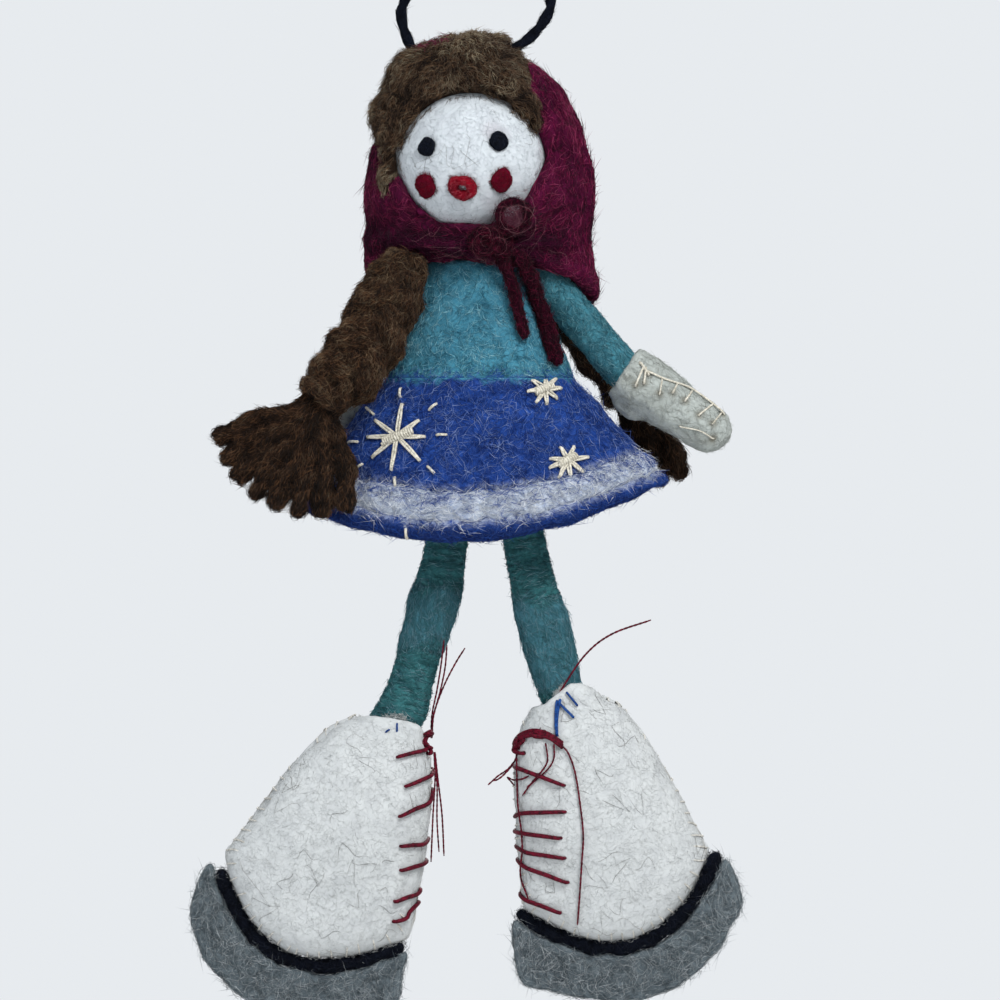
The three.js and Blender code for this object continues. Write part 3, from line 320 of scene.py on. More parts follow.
def wool(name, hollow, body, light, patches=(), size=1.0, lines=0.4, dark_lines=0.25,
         bump=0.5, sheen=0.05, relief=3.0):
    """Felted wool: soft mottling between hollow and body, with light and dark fibres lying on it.

    patches is a list of (attribute, colour, strength): the colour shows where the attribute is 1."""
    material, tree, shader = new_material(name)
    place = object_place(tree)
    mottle = added(tree, "TexNoise", {"Scale": 210 * size, "Detail": 6, "Roughness": 0.68,
                                      "Distortion": 0.8, "Vector": place}).outputs[0]
    colour = two_tones(tree, mottle, hollow, body, 0.32, 0.58)
    for attribute, tone, strength in patches:
        read = added(tree, "Attribute", {}, attribute_name=attribute)
        colour = blended(tree, part_of(tree, read.outputs["Fac"], strength), colour, tone)
    coarse = line_mask(tree, place, 620 * size, 2.2, 0.028)
    fine = line_mask(tree, place, 1150 * size, 2.8, 0.034)
    dark = line_mask(tree, place, 830 * size, 1.8, 0.026)
    lit = blended(tree, 0.35, light, colour)
    colour = blended(tree, part_of(tree, dark, dark_lines), colour, hollow)
    colour = blended(tree, part_of(tree, fine, lines * 0.7), colour, lit)
    colour = blended(tree, part_of(tree, coarse, lines), colour, lit)
    height = worked_out(tree, "ADD", worked_out(tree, "ADD", coarse, fine), part_of(tree, mottle, relief))
    bumped = added(tree, "Bump", {"Strength": bump, "Distance": 0.00022, "Height": height})
    filled(tree, shader, {
        "Base Color": colour, "Normal": bumped.outputs[0], "Roughness": 0.95, "Specular IOR Level": 0.06,
        "Sheen Weight": sheen, "Sheen Roughness": 0.45, "Sheen Tint": light,
    })
    return material


def coat(name, *tones, sheen=0.03):
    """Loose fibres: each fibre has one colour from dark to light, kept in its tint."""
    material, tree, shader = new_material(name)
    read = added(tree, "Attribute", {}, attribute_name="tint")
    ramp = added(tree, "ValToRGB", {0: read.outputs["Fac"]})
    elements = ramp.color_ramp.elements
    elements[0].color = tones[0]
    elements[1].color = tones[-1]
    for i, tone in enumerate(tones[1:-1]):
        elements.new((i + 1) / (len(tones) - 1)).color = tone
    filled(tree, shader, {
        "Base Color": ramp.outputs[0], "Roughness": 0.8, "Specular IOR Level": 0.06,
        "Sheen Weight": sheen, "Sheen Roughness": 0.4,
    })
    return material


def thread(name, dark, body, ribs=1500.0, bump=0.7, gloss=0.6):
    """Spun yarn or thread, with fine dark hollows between its fibres."""
    material, tree, shader = new_material(name)
    noise = added(tree, "TexNoise", {"Scale": ribs, "Detail": 3, "Distortion": 1.2,
                                     "Vector": object_place(tree)}).outputs[0]
    bumped = added(tree, "Bump", {"Strength": bump, "Distance": 0.00012, "Height": noise})
    filled(tree, shader, {
        "Base Color": two_tones(tree, noise, dark, body, 0.35, 0.62), "Normal": bumped.outputs[0],
        "Roughness": gloss, "Specular IOR Level": 0.12, "Sheen Weight": 0.02,
    })
    return material


# ---------------------------------------------------------------- felted forms
def copy_of(name, *nodes):
    """The CAD solids as one new mesh, with its loose triangles merged."""
    mesh = bmesh.new()
    for node in nodes:
        mesh.from_mesh(frame["nodes"][node].data)
    bmesh.ops.remove_doubles(mesh, verts=mesh.verts, dist=2e-6)
    made = bpy.data.meshes.new(name)
    mesh.to_mesh(made)
    mesh.free()
    return set_out(name, made)


def shaded_smooth(piece):
    only(piece)
    bpy.ops.object.shade_smooth()
    return piece


def felted(name, nodes, voxel=0.6, rounds=24, lumps=((4.0, 0.25),), seed=1, shape=None):
    """Felts CAD solids soft: closed up, smoothed over, and lumpy by (size, height) in mm."""
    piece = copy_of(name, *nodes)
    if shape:
        set_points(piece, shape(points_of(piece)))
    worked(piece, "REMESH", mode="VOXEL", voxel_size=voxel * MM)
    if rounds:
        worked(piece, "SMOOTH", factor=0.6, iterations=rounds)
    points, normals = points_of(piece), normals_of(piece)
    for i, (size, height) in enumerate(lumps):
        points = points + normals * (ripple(points, size, seed * 10 + i) * height)[:, None]
    set_points(piece, points)
    return shaded_smooth(piece)


def tree_of(*pieces):
    """The pieces' faces as one tree to look points up in, in mm."""
    points, faces = [], []
    for piece in pieces:
        base = len(points)
        points.extend(Vector(p) for p in points_of(piece))
        faces.extend([base + i for i in f.vertices] for f in piece.data.polygons)
    return BVHTree.FromPolygons(points, faces)


def pixel_ray(x, y):
    """The camera's line of sight through a pixel of the photograph."""
    across, up = (x - NECK_PIXEL[0]) * PHOTO_SCALE, (NECK_PIXEL[1] - y) * PHOTO_SCALE + NECK_HEIGHT
    return (Vector((across, 0, up)) - EYE_POINT).normalized()


def at_depth(ray, depth):
    """The point of a line of sight that lies at a depth in mm."""
    return EYE_POINT + ray * ((depth - EYE_POINT.y) / ray.y)


def seen(x, y, tree, proud=0.0):
    """The point on a form that the photograph shows at pixel x, y, raised by proud mm.

    Where the line of sight misses the form, it is the form's nearest point."""
    ray = pixel_ray(x, y)
    hit, normal, _, _ = tree.ray_cast(EYE_POINT, ray)
    if hit is None:
        start = at_depth(ray, -8)
        hit, normal, _, _ = tree.find_nearest(start)
        side = (start - hit).normalized()
        return hit + side * proud, side
    return hit + normal * proud, normal


# ---------------------------------------------------------------- loose fibres
def fibre_mesh(name, lines, radii, tint):
    """One mesh of thin closed fibres. lines is count x points x 3 in mm; each fibre has its tint."""
    count, steps = lines.shape[:2]
    along = np.gradient(lines, axis=1)
    along /= np.linalg.norm(along, axis=2, keepdims=True) + 1e-9
    guide = np.zeros_like(along)
    guide[..., 2] = 1
    guide[np.abs(along[..., 2]) > 0.8] = (1, 0, 0)
    across = np.cross(along, guide)
    across /= np.linalg.norm(across, axis=2, keepdims=True) + 1e-9
    over = np.cross(along, across)
    inner = steps - 2
    verts = np.zeros((count, 2 + inner * 3, 3))
    verts[:, 0] = lines[:, 0]
    verts[:, 1] = lines[:, -1]
    for i in range(inner):
        for k in range(3):
            turn = 2 * math.pi * k / 3
            side = across[:, i + 1] * math.cos(turn) + over[:, i + 1] * math.sin(turn)
            verts[:, 2 + i * 3 + k] = lines[:, i + 1] + side * radii[:, None]
    faces = []
    for k in range(3):
        following = (k + 1) % 3
        faces.append((0, 2 + k, 2 + following))
        for i in range(inner - 1):
            a, b = 2 + i * 3 + k, 2 + i * 3 + following
            faces.append((a, a + 3, b))
            faces.append((b, a + 3, b + 3))
        last = 2 + (inner - 1) * 3
        faces.append((1, last + following, last + k))
    faces = np.array(faces)
    every = (faces[None] + (np.arange(count) * verts.shape[1])[:, None, None]).reshape(-1, 3)
    mesh = bpy.data.meshes.new(name)
    mesh.vertices.add(count * verts.shape[1])
    mesh.vertices.foreach_set("co", (verts.reshape(-1, 3) * MM).astype(np.float32).ravel())
    mesh.loops.add(every.size)
    mesh.loops.foreach_set("vertex_index", every.ravel().astype(np.int32))
    mesh.polygons.add(len(every))
    mesh.polygons.foreach_set("loop_start", np.arange(0, every.size, 3, dtype=np.int32))
    mesh.update(calc_edges=True)
    piece = set_out(name, mesh)
    mark(piece, "tint", np.repeat(tint, verts.shape[1]))
    return piece


def loose_fibres(name, forms, count, length, seed, radius=(0.045, 0.08), lift=(0.03, 0.3),
                 flow=None, spread=1.4, curl=0.8, stray=0.07, reach=1.4, where=None,
                 tint=None, steps=3, swirl=(0, 6)):
    """A coat of wool on the forms: fibres that lie on the surface, some with an end that stands off.

    flow gives the direction at each point, and swirl (strength, size) bends it the same way for
    neighbouring fibres; where gives how thickly the wool lies at each point."""
    rng = np.random.default_rng(seed)
    corners = []
    for form in forms:
        co = points_of(form)
        form.data.calc_loop_triangles()
        index = np.zeros(len(form.data.loop_triangles) * 3, np.int32)
        form.data.loop_triangles.foreach_get("vertices", index)
        corners.append(co[index.reshape(-1, 3)])
    corners = np.concatenate(corners)
    cross = np.cross(corners[:, 1] - corners[:, 0], corners[:, 2] - corners[:, 0])
    area = np.linalg.norm(cross, axis=1)
    normals = cross / (area[:, None] + 1e-12)
    weight = area.copy()
    if where:
        weight *= np.clip(where(corners.mean(axis=1), normals), 0, None)
    chosen = rng.choice(len(corners), size=count, p=weight / weight.sum())
    u, v = rng.random(count), rng.random(count)
    flip = u + v > 1
    u[flip], v[flip] = 1 - u[flip], 1 - v[flip]
    c = corners[chosen]
    start = c[:, 0] + (c[:, 1] - c[:, 0]) * u[:, None] + (c[:, 2] - c[:, 0]) * v[:, None]
    n = normals[chosen]
    if flow is None:
        way = rng.normal(size=(count, 3))
    else:
        way = flow(start, n)
    way = way - n * np.sum(way * n, axis=1, keepdims=True)
    way /= np.linalg.norm(way, axis=1, keepdims=True) + 1e-9
    side = np.cross(n, way)
    turn = rng.normal(size=count) * spread + swirl[0] * ripple(start, swirl[1], seed + 500)
    way = way * np.cos(turn)[:, None] + side * np.sin(turn)[:, None]
    side = np.cross(n, way)
    size = rng.uniform(*length, count)
    bend = rng.normal(size=count) * curl
    share = np.linspace(-0.5, 0.5, steps)
    rise = rng.uniform(*lift, count)
    standing = rng.random(count) < stray
    away = np.where(standing, rng.uniform(0.35, 1, count) * reach, 0)
    lean = rng.normal(size=(count, 3)) * 0.35
    lines = np.zeros((count, steps, 3))
    for i, s in enumerate(share):
        forward = way * (size * s)[:, None]
        sideways = side * (size * bend * (s * s) + size * 0.15 * bend * math.sin(7 * s))[:, None]
        lines[:, i] = start + forward + sideways
    tree = tree_of(*forms)
    for f in range(count):
        for i in range(steps):
            hit, normal, _, _ = tree.find_nearest(Vector(lines[f, i]))
            height = rise[f] * (1 - abs(2 * share[i])) + 0.03
            if standing[f]:
                height += away[f] * (share[i] + 0.5) ** 2
            lines[f, i] = hit + normal * height
        if standing[f]:
            lines[f, -1] += lean[f] * away[f]
    radii = rng.uniform(*radius, count) * (1.2 if steps == 3 else 1)  # one ring alone looks thinner
    shade = rng.random(count)
    if tint:
        shade = tint(start, shade)
    return fibre_mesh(name, lines, radii, shade)


def toward(*direction):
    """A flow that runs one way everywhere."""
    way = np.array(direction, float)
    return lambda p, n: np.tile(way, (len(p), 1))


# ---------------------------------------------------------------- strands
def smooth_line(points, count):
    """A smooth line of count points through the given ones, evenly spaced (Catmull-Rom)."""
    p = np.array([list(q) for q in points], float)
    p = np.vstack([2 * p[0] - p[1], p, 2 * p[-1] - p[-2]])
    fine = []
    for i in range(1, len(p) - 2):
        a, b, c, d = p[i - 1 : i + 3]
        for t in np.linspace(0, 1, 24, endpoint=False):
            fine.append(
                0.5 * (2 * b + (c - a) * t + (2 * a - 5 * b + 4 * c - d) * t**2
                       + (3 * b - a - 3 * c + d) * t**3)
            )
    fine.append(p[-2])
    fine = np.array(fine)
    run = np.concatenate([[0], np.cumsum(np.linalg.norm(np.diff(fine, axis=0), axis=1))])
    even = np.linspace(0, run[-1], count)
    return np.stack([np.interp(even, run, fine[:, k]) for k in range(3)], axis=1)


def length_of(line):
    return float(np.linalg.norm(np.diff(line, axis=0), axis=1).sum())


def side_frames(line):
    """Two directions square to the line at each point, carried along it without twist."""
    along = np.gradient(line, axis=0)
    along /= np.linalg.norm(along, axis=1, keepdims=True)
    side = np.array((0.0, -1.0, 0.0))
    one, two = [], []
    for t in along:
        side = side - t * (side @ t)
        side /= np.linalg.norm(side)
        one.append(side.copy())
        two.append(np.cross(t, side))
    return np.array(one), np.array(two)


def strand(name, line, radius, sides=3, thick=None):
    """A round strand drawn as a curve along the line, then made a mesh."""
    nothing_selected()
    bpy.ops.curve.primitive_nurbs_path_add(location=(0, 0, 0))
    piece = bpy.context.object
    piece.name = name
    curve = piece.data
    curve.splines.clear()
    spline = curve.splines.new("POLY")
    spline.points.add(len(line) - 1)
    for i, p in enumerate(line):
        spline.points[i].co = (*(Vector(p) * MM), 1)
        spline.points[i].radius = 1 if thick is None else float(thick[i])
    curve.dimensions = "3D"
    curve.twist_mode = "MINIMUM"
    curve.bevel_depth = radius * MM
    curve.bevel_resolution = sides
    curve.use_fill_caps = True
    only(piece)
    bpy.ops.object.convert(target="MESH")
    piece = bpy.context.object
    mesh = bmesh.new()
    mesh.from_mesh(piece.data)
    bmesh.ops.remove_doubles(mesh, verts=mesh.verts, dist=1e-6)
    bmesh.ops.recalc_face_normals(mesh, faces=mesh.faces)
    mesh.to_mesh(piece.data)
    mesh.free()
    return shaded_smooth(piece)


def tapered(count, start=0.3, end=0.3, share=0.08):
    """Thickness along a strand whose ends thin out over a share of its length."""
    t = np.linspace(0, 1, count)
    rise = np.clip(t / share, 0, 1)
    fall = np.clip((1 - t) / share, 0, 1)
    return (start + (1 - start) * np.sqrt(1 - (1 - rise) ** 2)) * (
        end + (1 - end) * np.sqrt(1 - (1 - fall) ** 2)
    )


def plied(name, line, radius, plies=2, pitch=6.0, share=0.56, ends=(0.35, 0.35), sides=3, phase=0.0):
    """A yarn of plies twisted round each other along the line. radius is the whole yarn's."""
    one, two = side_frames(line)
    run = np.concatenate([[0], np.cumsum(np.linalg.norm(np.diff(line, axis=0), axis=1))])
    thick = tapered(len(line), *ends)
    made = []
    for k in range(plies):
        turn = phase + 2 * math.pi * (run / pitch + k / plies)
        off = (radius * (1 - share) * thick)[:, None]
        path = line + off * (one * np.cos(turn)[:, None] + two * np.sin(turn)[:, None])
        made.append(strand(f"{name}_{k}", path, radius * share, sides, thick))
    return joined(name, made)


def sewn(tree, pixels, radius, proud=0.25, sunk=0.5, count=12, sides=2):
    """A thread on the surface through pixels of the photograph, with both ends in the felt."""
    spots = [seen(x, y, tree, proud + radius)[0] for x, y in pixels]
    ends = [seen(*pixels[0], tree, -sunk)[0], seen(*pixels[-1], tree, -sunk)[0]]
    line = smooth_line([ends[0], *spots, ends[1]], count)
    return strand("stitch", line, radius, sides)


make_camera()
make_stage()
bpy.context.scene.view_settings.view_transform = "Standard"

# ---------------------------------------------------------------- colours of the wools
brown_hollow, brown, brown_light = linear(11, 8, 7), linear(42, 30, 22), linear(84, 62, 44)
wine_hollow, wine, wine_light = linear(26, 3, 18), linear(76, 12, 46), linear(120, 34, 80)
bow_hollow, bow_red, bow_light = linear(11, 1, 7), linear(38, 4, 20), linear(80, 16, 40)
teal_hollow, teal, teal_light = linear(30, 78, 98), linear(64, 129, 152), linear(122, 178, 196)
blue_hollow, blue, blue_light = linear(13, 30, 86), linear(32, 68, 146), linear(92, 118, 180)
white_hollow, white, white_light = linear(134, 150, 180), linear(188, 198, 212), linear(230, 233, 237)
sleeve_hollow, sleeve, sleeve_light = linear(28, 68, 82), linear(64, 126, 142), linear(124, 176, 188)
green_hollow, green, green_light = linear(22, 60, 65), linear(52, 106, 110), linear(106, 152, 156)
knee_grey, knee_light = linear(62, 110, 124), linear(134, 168, 178)
cream, floss_shade = linear(220, 216, 203), linear(160, 155, 140)
lace_dark, lace_red = linear(36, 1, 12), linear(98, 6, 32)
red_hollow, cheek_red, mouth_red = linear(54, 1, 16), linear(98, 4, 32), linear(128, 8, 28)
black_hollow, black, black_light = linear(3, 4, 8), linear(12, 16, 27), linear(42, 50, 66)
blade_hollow, blade_grey, blade_light = linear(60, 69, 75), linear(97, 108, 114), linear(150, 159, 163)
core_hollow, core, core_light = linear(168, 160, 140), linear(208, 202, 186), linear(236, 232, 222)
felt_hollow, felt, felt_light = linear(184, 188, 190), linear(198, 202, 203), linear(219, 222, 222)

hair_wool = wool("hair_wool", brown_hollow, brown, brown_light, size=1.3, dark_lines=0.5, bump=0.8)
braid_wool = wool("braid_wool", brown_hollow, brown, brown_light, size=1.5, dark_lines=0.5)
kerchief_wool = wool("kerchief_wool", wine_hollow, wine, wine_light, [("shade", bow_hollow, 0.95)],
                     dark_lines=0.5)
bow_wool = wool("bow_wool", bow_hollow, bow_red, bow_light, size=1.3, dark_lines=0.5)
bodice_wool = wool("bodice_wool", teal_hollow, teal, teal_light, [("blue", blue, 1.0)])
# The skirt is darker just under the band: painted shade.
skirt_wool = wool("skirt_wool", blue_hollow, blue, blue_light,
                  [("teal", teal, 1.0), ("hem_shade", linear(10, 24, 66), 0.85), ("white", white, 0.9)])
band_wool = wool("band_wool", white_hollow, white, white_light, [("blue", blue, 0.7)], lines=0.6)
face_wool = wool("face_wool", linear(186, 192, 198), linear(199, 206, 211), linear(218, 223, 227),
                 [("shade", linear(176, 172, 180), 0.6)], lines=0.15, dark_lines=0.04, bump=0.1, relief=0.6)
boot_felt = wool("boot_felt", felt_hollow, felt, felt_light, [("edge", linear(150, 142, 128), 0.7)],
                 lines=0.18, dark_lines=0.05, bump=0.16, relief=0.7)
# The mittens' edge patch is painted shade at the stitch holes, with random tan patches.
mitten_felt = wool("mitten_felt", linear(144, 150, 146), linear(170, 177, 174), linear(200, 205, 202),
                   [("edge", linear(96, 90, 74), 0.9)], lines=0.25, dark_lines=0.08, bump=0.24, relief=0.8)
sleeve_wool = wool("sleeve_wool", sleeve_hollow, sleeve, sleeve_light)
# The legs' groove patch is painted shade in the recesses between the wraps.
leg_wool = wool("leg_wool", green_hollow, green, green_light,
                [("knee", knee_grey, 1.0), ("groove", green_hollow, 0.6)])
core_wool = wool("core_wool", core_hollow, core, core_light)
eye_wool = wool("eye_wool", black_hollow, black, black_light, lines=0.3, bump=0.4, sheen=0.03)
cheek_wool = wool("cheek_wool", red_hollow, cheek_red, linear(140, 24, 54), lines=0.4)
mouth_wool = wool("mouth_wool", linear(78, 3, 18), mouth_red, linear(176, 44, 60), lines=0.5)
blade_felt = wool("blade_felt", blade_hollow, blade_grey, blade_light, lines=0.4, dark_lines=0.3)
black_wool = wool("black_wool", black_hollow, black, black_light, size=1.4, bump=0.7, sheen=0.04)
lace_thread = thread("lace_thread", lace_dark, lace_red)
floss = thread("floss", floss_shade, cream, ribs=1800, bump=0.6, gloss=0.5)
blue_thread = thread("blue_thread", linear(10, 32, 84), linear(28, 74, 140))
white_thread = thread("white_thread", linear(160, 158, 150), linear(214, 212, 206))

brown_coat = coat("brown_coat", linear(17, 12, 10), linear(54, 39, 29), linear(98, 69, 48),
                  linear(92, 80, 64), linear(142, 118, 92))
hair_coat = coat("hair_coat", linear(22, 17, 15), linear(64, 49, 38), linear(104, 80, 60),
                 linear(108, 100, 84), linear(152, 138, 114))
wine_coat = coat("wine_coat", linear(38, 4, 26), wine, linear(116, 24, 62), linear(148, 58, 92))
bow_coat = coat("bow_coat", bow_hollow, bow_red, linear(72, 8, 30), linear(104, 30, 56))
gauze_coat = coat("gauze_coat", linear(74, 26, 46), linear(112, 70, 84))
curl_coat = coat("curl_coat", linear(100, 40, 54), linear(150, 110, 116))
teal_coat = coat("teal_coat", teal_hollow, teal, linear(96, 158, 172), teal_light, linear(150, 196, 206))
blue_coat = coat("blue_coat", blue_hollow, blue, linear(44, 78, 160), blue_light, linear(140, 156, 196))
white_coat = coat("white_coat", linear(132, 148, 178), white, white_light, linear(232, 236, 240))
face_coat = coat("face_coat", linear(192, 198, 204), linear(203, 210, 215), linear(221, 226, 230))
boot_coat = coat("boot_coat", linear(184, 186, 184), linear(198, 201, 201), linear(209, 212, 212),
                 linear(228, 231, 231))
mitten_coat = coat("mitten_coat", linear(138, 140, 132), linear(172, 178, 174), linear(204, 208, 204))
sleeve_coat = coat("sleeve_coat", sleeve_hollow, sleeve, linear(84, 136, 146), sleeve_light)
leg_coat = coat("leg_coat", green_hollow, green, knee_grey, knee_light)
blade_coat = coat("blade_coat", linear(44, 50, 56), blade_grey, blade_light, linear(190, 194, 196))
black_coat = coat("black_coat", black_hollow, black, linear(36, 42, 56), sheen=0.02)
red_coat = coat("red_coat", red_hollow, cheek_red, mouth_red, linear(184, 84, 96))
hair_grey = coat("hair_grey", linear(60, 56, 52), linear(120, 116, 110))


# ---------------------------------------------------------------- hanging loop
loop_route = [
    (-14.60, 0, -79.00), (-16.40, 0, -74.40), (-16.90, 0, -70.60), (-15.80, 0, -66.00),
    (-17.20, 0, -57.00), (-20.00, 0, -41.00), (-18.50, 0, -24.00), (-13.50, 0, -10.00),
    (-6.50, 0, -0.40), (0, 0, 1.20), (6.50, 0, -0.40), (13.50, 0, -10.00),
    (18.50, 0, -24.00), (20.00, 0, -41.00), (17.60, 0, -55.00), (15.30, 0, -66.00),
    (14.90, 0, -70.60), (11.30, 0, -75.80), (6.90, 0, -79.00),
]
loop_line = smooth_line(loop_route, 230)
loop = plied("loop_yarn", loop_line, 1.26, plies=2, pitch=10, share=0.74, ends=(0.9, 0.9))
placed(loop, "hanger", black_wool, ["hanger_loop"])
loop_fuzz = loose_fibres("loop_fuzz", [loop], 2600, (1.4, 3.4), 3, radius=(0.025, 0.045), stray=0.25,
                         reach=0.8, spread=0.6, flow=toward(0, 0, 1))
placed(loop_fuzz, "hanger", black_coat)


# ---------------------------------------------------------------- head and face
head = felted("head_felt", ["head"], 0.55, 20, ((8, 0.16), (2.4, 0.035)), seed=2)
head_centre = np.array(neck(-2.2, 0, 20.4))
head_points = points_of(head)
mark(head, "shade", falling(head_points[:, 2], head_centre[2] - 11, 7) * 0.6
     + np.clip(ripple(head_points, 9, 5) - 0.55, 0, 1))
placed(head, "doll", face_wool, ["head"])
head_tree = tree_of(head)


def swelled(piece, grow):
    """Moves a form's skin out by grow mm."""
    set_points(piece, points_of(piece) + normals_of(piece) * grow)


def tighter_mouth(points):
    """Closes the ring's hole to the small one of the photograph, and sets the ring a little askew."""
    centre = points.mean(axis=0)
    away = points - centre
    out = np.hypot(away[:, 0], away[:, 2])
    wanted = np.interp(out, [1.1, 2.3, 3.4], [0.4, 2.1, 3.4]) / np.maximum(out, 0.2)
    moved = points.copy()
    moved[:, 0] = centre[0] + away[:, 0] * wanted * 1.03 + away[:, 2] * 0.05
    moved[:, 2] = centre[2] + away[:, 2] * wanted * 0.9 - away[:, 0] * 0.12
    return moved


for name, node, wool_used, grow, shape in (
    ("eye_left_pad", "eye_left", eye_wool, 0.3, None),
    ("eye_right_pad", "eye_right", eye_wool, 0.26, None),
    ("cheek_left_pad", "cheek_left", cheek_wool, 0.24, None),
    ("cheek_right_pad", "cheek_right", cheek_wool, 0.24, None),
    ("mouth_ring", "mouth", mouth_wool, 0.16, tighter_mouth),
):
    pad = felted(name, [node], 0.28, 12, ((2.2, 0.16), (0.9, 0.05)), seed=len(name), shape=shape)
    swelled(pad, grow)
    placed(pad, "doll", wool_used, [node])


# ---------------------------------------------------------------- hair
def fluffed(points, size, height, seed):
    return (np.abs(ripple(points, size, seed)) - 0.38) * height


hair = felted("hair_mass", ["hair_crown", "hair_fringe"], 0.6, 10, (), seed=4)
hair_middle = np.array(neck(-4.7, 2.5, 29.5))
SCALP = 15.5  # mm from the hair's middle to where its own wool starts
hair_points, hair_normals = points_of(hair), normals_of(hair)
outer = np.clip((np.linalg.norm(hair_points - hair_middle, axis=1) - SCALP) / 2, 0, 1)


def hair_relief(p):
    return fluffed(p, 9, 1.5, 41) + fluffed(p, 4.5, 1.1, 42) + fluffed(p, 2.2, 0.5, 43)


p = hair_points + hair_normals * (hair_relief(hair_points) * outer)[:, None]
out = p - hair_middle
turn = np.degrees(np.arctan2(out[:, 2], out[:, 0]))
trim = 1.9 * hump(turn, 104, 22) + 1.1 * hump(turn, 160, 16)
p -= out / np.linalg.norm(out, axis=1, keepdims=True) * (trim * outer)[:, None]
# The wool closes over both ends of the loop
for end in (loop_route[0], loop_route[-1]):
    far = np.linalg.norm(p - np.array(end), axis=1)
    p += hair_normals * (1.7 * hump(far, 0, 2.8) * outer)[:, None]
# The lock beside the face thins out to a tip, and the other end stops at the kerchief
lock = falling(p[:, 2], -97, 11) * (p[:, 0] < -8)
p[:, 0] += (-20.6 - p[:, 0]) * 0.62 * lock
p[:, 0] = np.where((p[:, 0] > 11) & (p[:, 2] < -88), 11 + (p[:, 0] - 11) * 0.5, p[:, 0])
# The fringe lies close on the face
for i in np.nonzero((p[:, 1] < -4) & (p[:, 2] < -84))[0]:
    hit, normal, _, _ = head_tree.find_nearest(Vector(p[i]))
    side = (Vector(p[i]) - hit).dot(normal)
    if 0 < side < 1.9:
        p[i] = p[i] + (np.array(hit + normal * 0.05) - p[i]) * min(1.0, (1.9 - side) / 0.9)
set_points(hair, p)
hair_tree = tree_of(hair)
placed(hair, "doll", hair_wool, ["hair_crown", "hair_fringe"])


# ---------------------------------------------------------------- kerchief and bow
def near_form(points, tree, reach):
    """1 on a form and 0 at reach mm from it."""
    far = np.array([tree.find_nearest(Vector(p))[3] for p in points])
    return np.clip(1 - far / reach, 0, 1)


KNOT = np.array((4.3, -14.6, -121.25))
kerchief = felted("kerchief_felt", ["kerchief", "kerchief_tie"], 0.6, 26, ((11, 0.5), (4, 0.18)), seed=6)
p, n = points_of(kerchief), normals_of(kerchief)
# Soft folds that run out from the knot
out = p - KNOT
turn = np.arctan2(out[:, 2], out[:, 0])
far = np.hypot(out[:, 0], out[:, 2])
front = falling(p[:, 1], -2, 5) * np.clip(far / 6, 0, 1) * np.clip(1.6 - far / 22, 0, 1)
folds = np.sin(turn * 11 + 1.2 * ripple(p, 14, 61)) + 0.5 * np.sin(turn * 19 + 1 + ripple(p, 9, 62))
p = p + n * (0.42 * folds * front)[:, None]
# The face shows down to the chin, and the hood's front edge lies close round it
chin = hump(p[:, 2], -114.5, 4) * falling(p[:, 1], -6, 5)
p[:, 2] -= 1.7 * chin * np.clip(1.4 - np.abs(p[:, 0] + 2) / 13, 0, 1)
hood_side = rising(p[:, 0], 8, 4) * falling(p[:, 1], -3, 3)
hood_side = hood_side * rising(p[:, 2], -118, 5) * falling(p[:, 2], -94, 6)
p[:, 1] += 2.2 * hood_side
for i in np.nonzero((p[:, 1] < -2.5) & (p[:, 2] > -124))[0]:
    hit, normal, _, _ = head_tree.find_nearest(Vector(p[i]))
    side = (Vector(p[i]) - hit).dot(normal)
    if 0 < side < 3.2:
        close = np.array(hit + normal * 0.12)
        share = min(1.0, (3.2 - side) / 1.6) * min(1.0, (-2.5 - p[i, 1]) / 3)
        p[i] = p[i] + (close - p[i]) * share
set_points(kerchief, p)
hood_tree = tree_of(kerchief)
chin_tree = tree_of(copy_of("chin_lines", "kerchief_tie"))
bpy.data.objects.remove(bpy.data.objects["chin_lines"])
low = np.nonzero((p[:, 1] < 2) & (p[:, 2] < -112))[0]
shade = np.zeros(len(p))
shade[low] = near_form(p[low], chin_tree, 4.5)
mark(kerchief, "shade", np.clip(1.3 * shade, 0, 1) * np.clip(0.85 + 0.4 * ripple(p, 6, 63), 0, 1))
placed(kerchief, "doll", kerchief_wool, ["kerchief", "kerchief_tie"])
for name, node, grow in (
    ("bow_knot_wool", "bow_knot", 0.2),
    ("upper_bow_loop", "bow_loop_upper", -0.2),
    ("lower_bow_loop", "bow_loop_lower", 0.15),
    ("short_tail", "bow_tail_short", 0.1),
    ("long_tail", "bow_tail_long", 0.4),
):
    form = felted(name, [node], 0.35, 10, ((3.2, 0.22), (1.2, 0.08)), seed=len(name))
    swelled(form, grow)
    placed(form, "doll", bow_wool, [node])

# ---------------------------------------------------------------- bodice, skirt and band
WAIST = -149.55
HEM_FROM = WAIST - 12  # the wool of the band and the hem lies below this height


def flared(points):
    """Draws the skirt's side on the right of the photograph out to its corner."""
    far = rising(points[:, 0], 24, 16) * falling(points[:, 2], -160, 10)
    points = points.copy()
    points[:, 0] += 2.2 * far**1.5
    return points


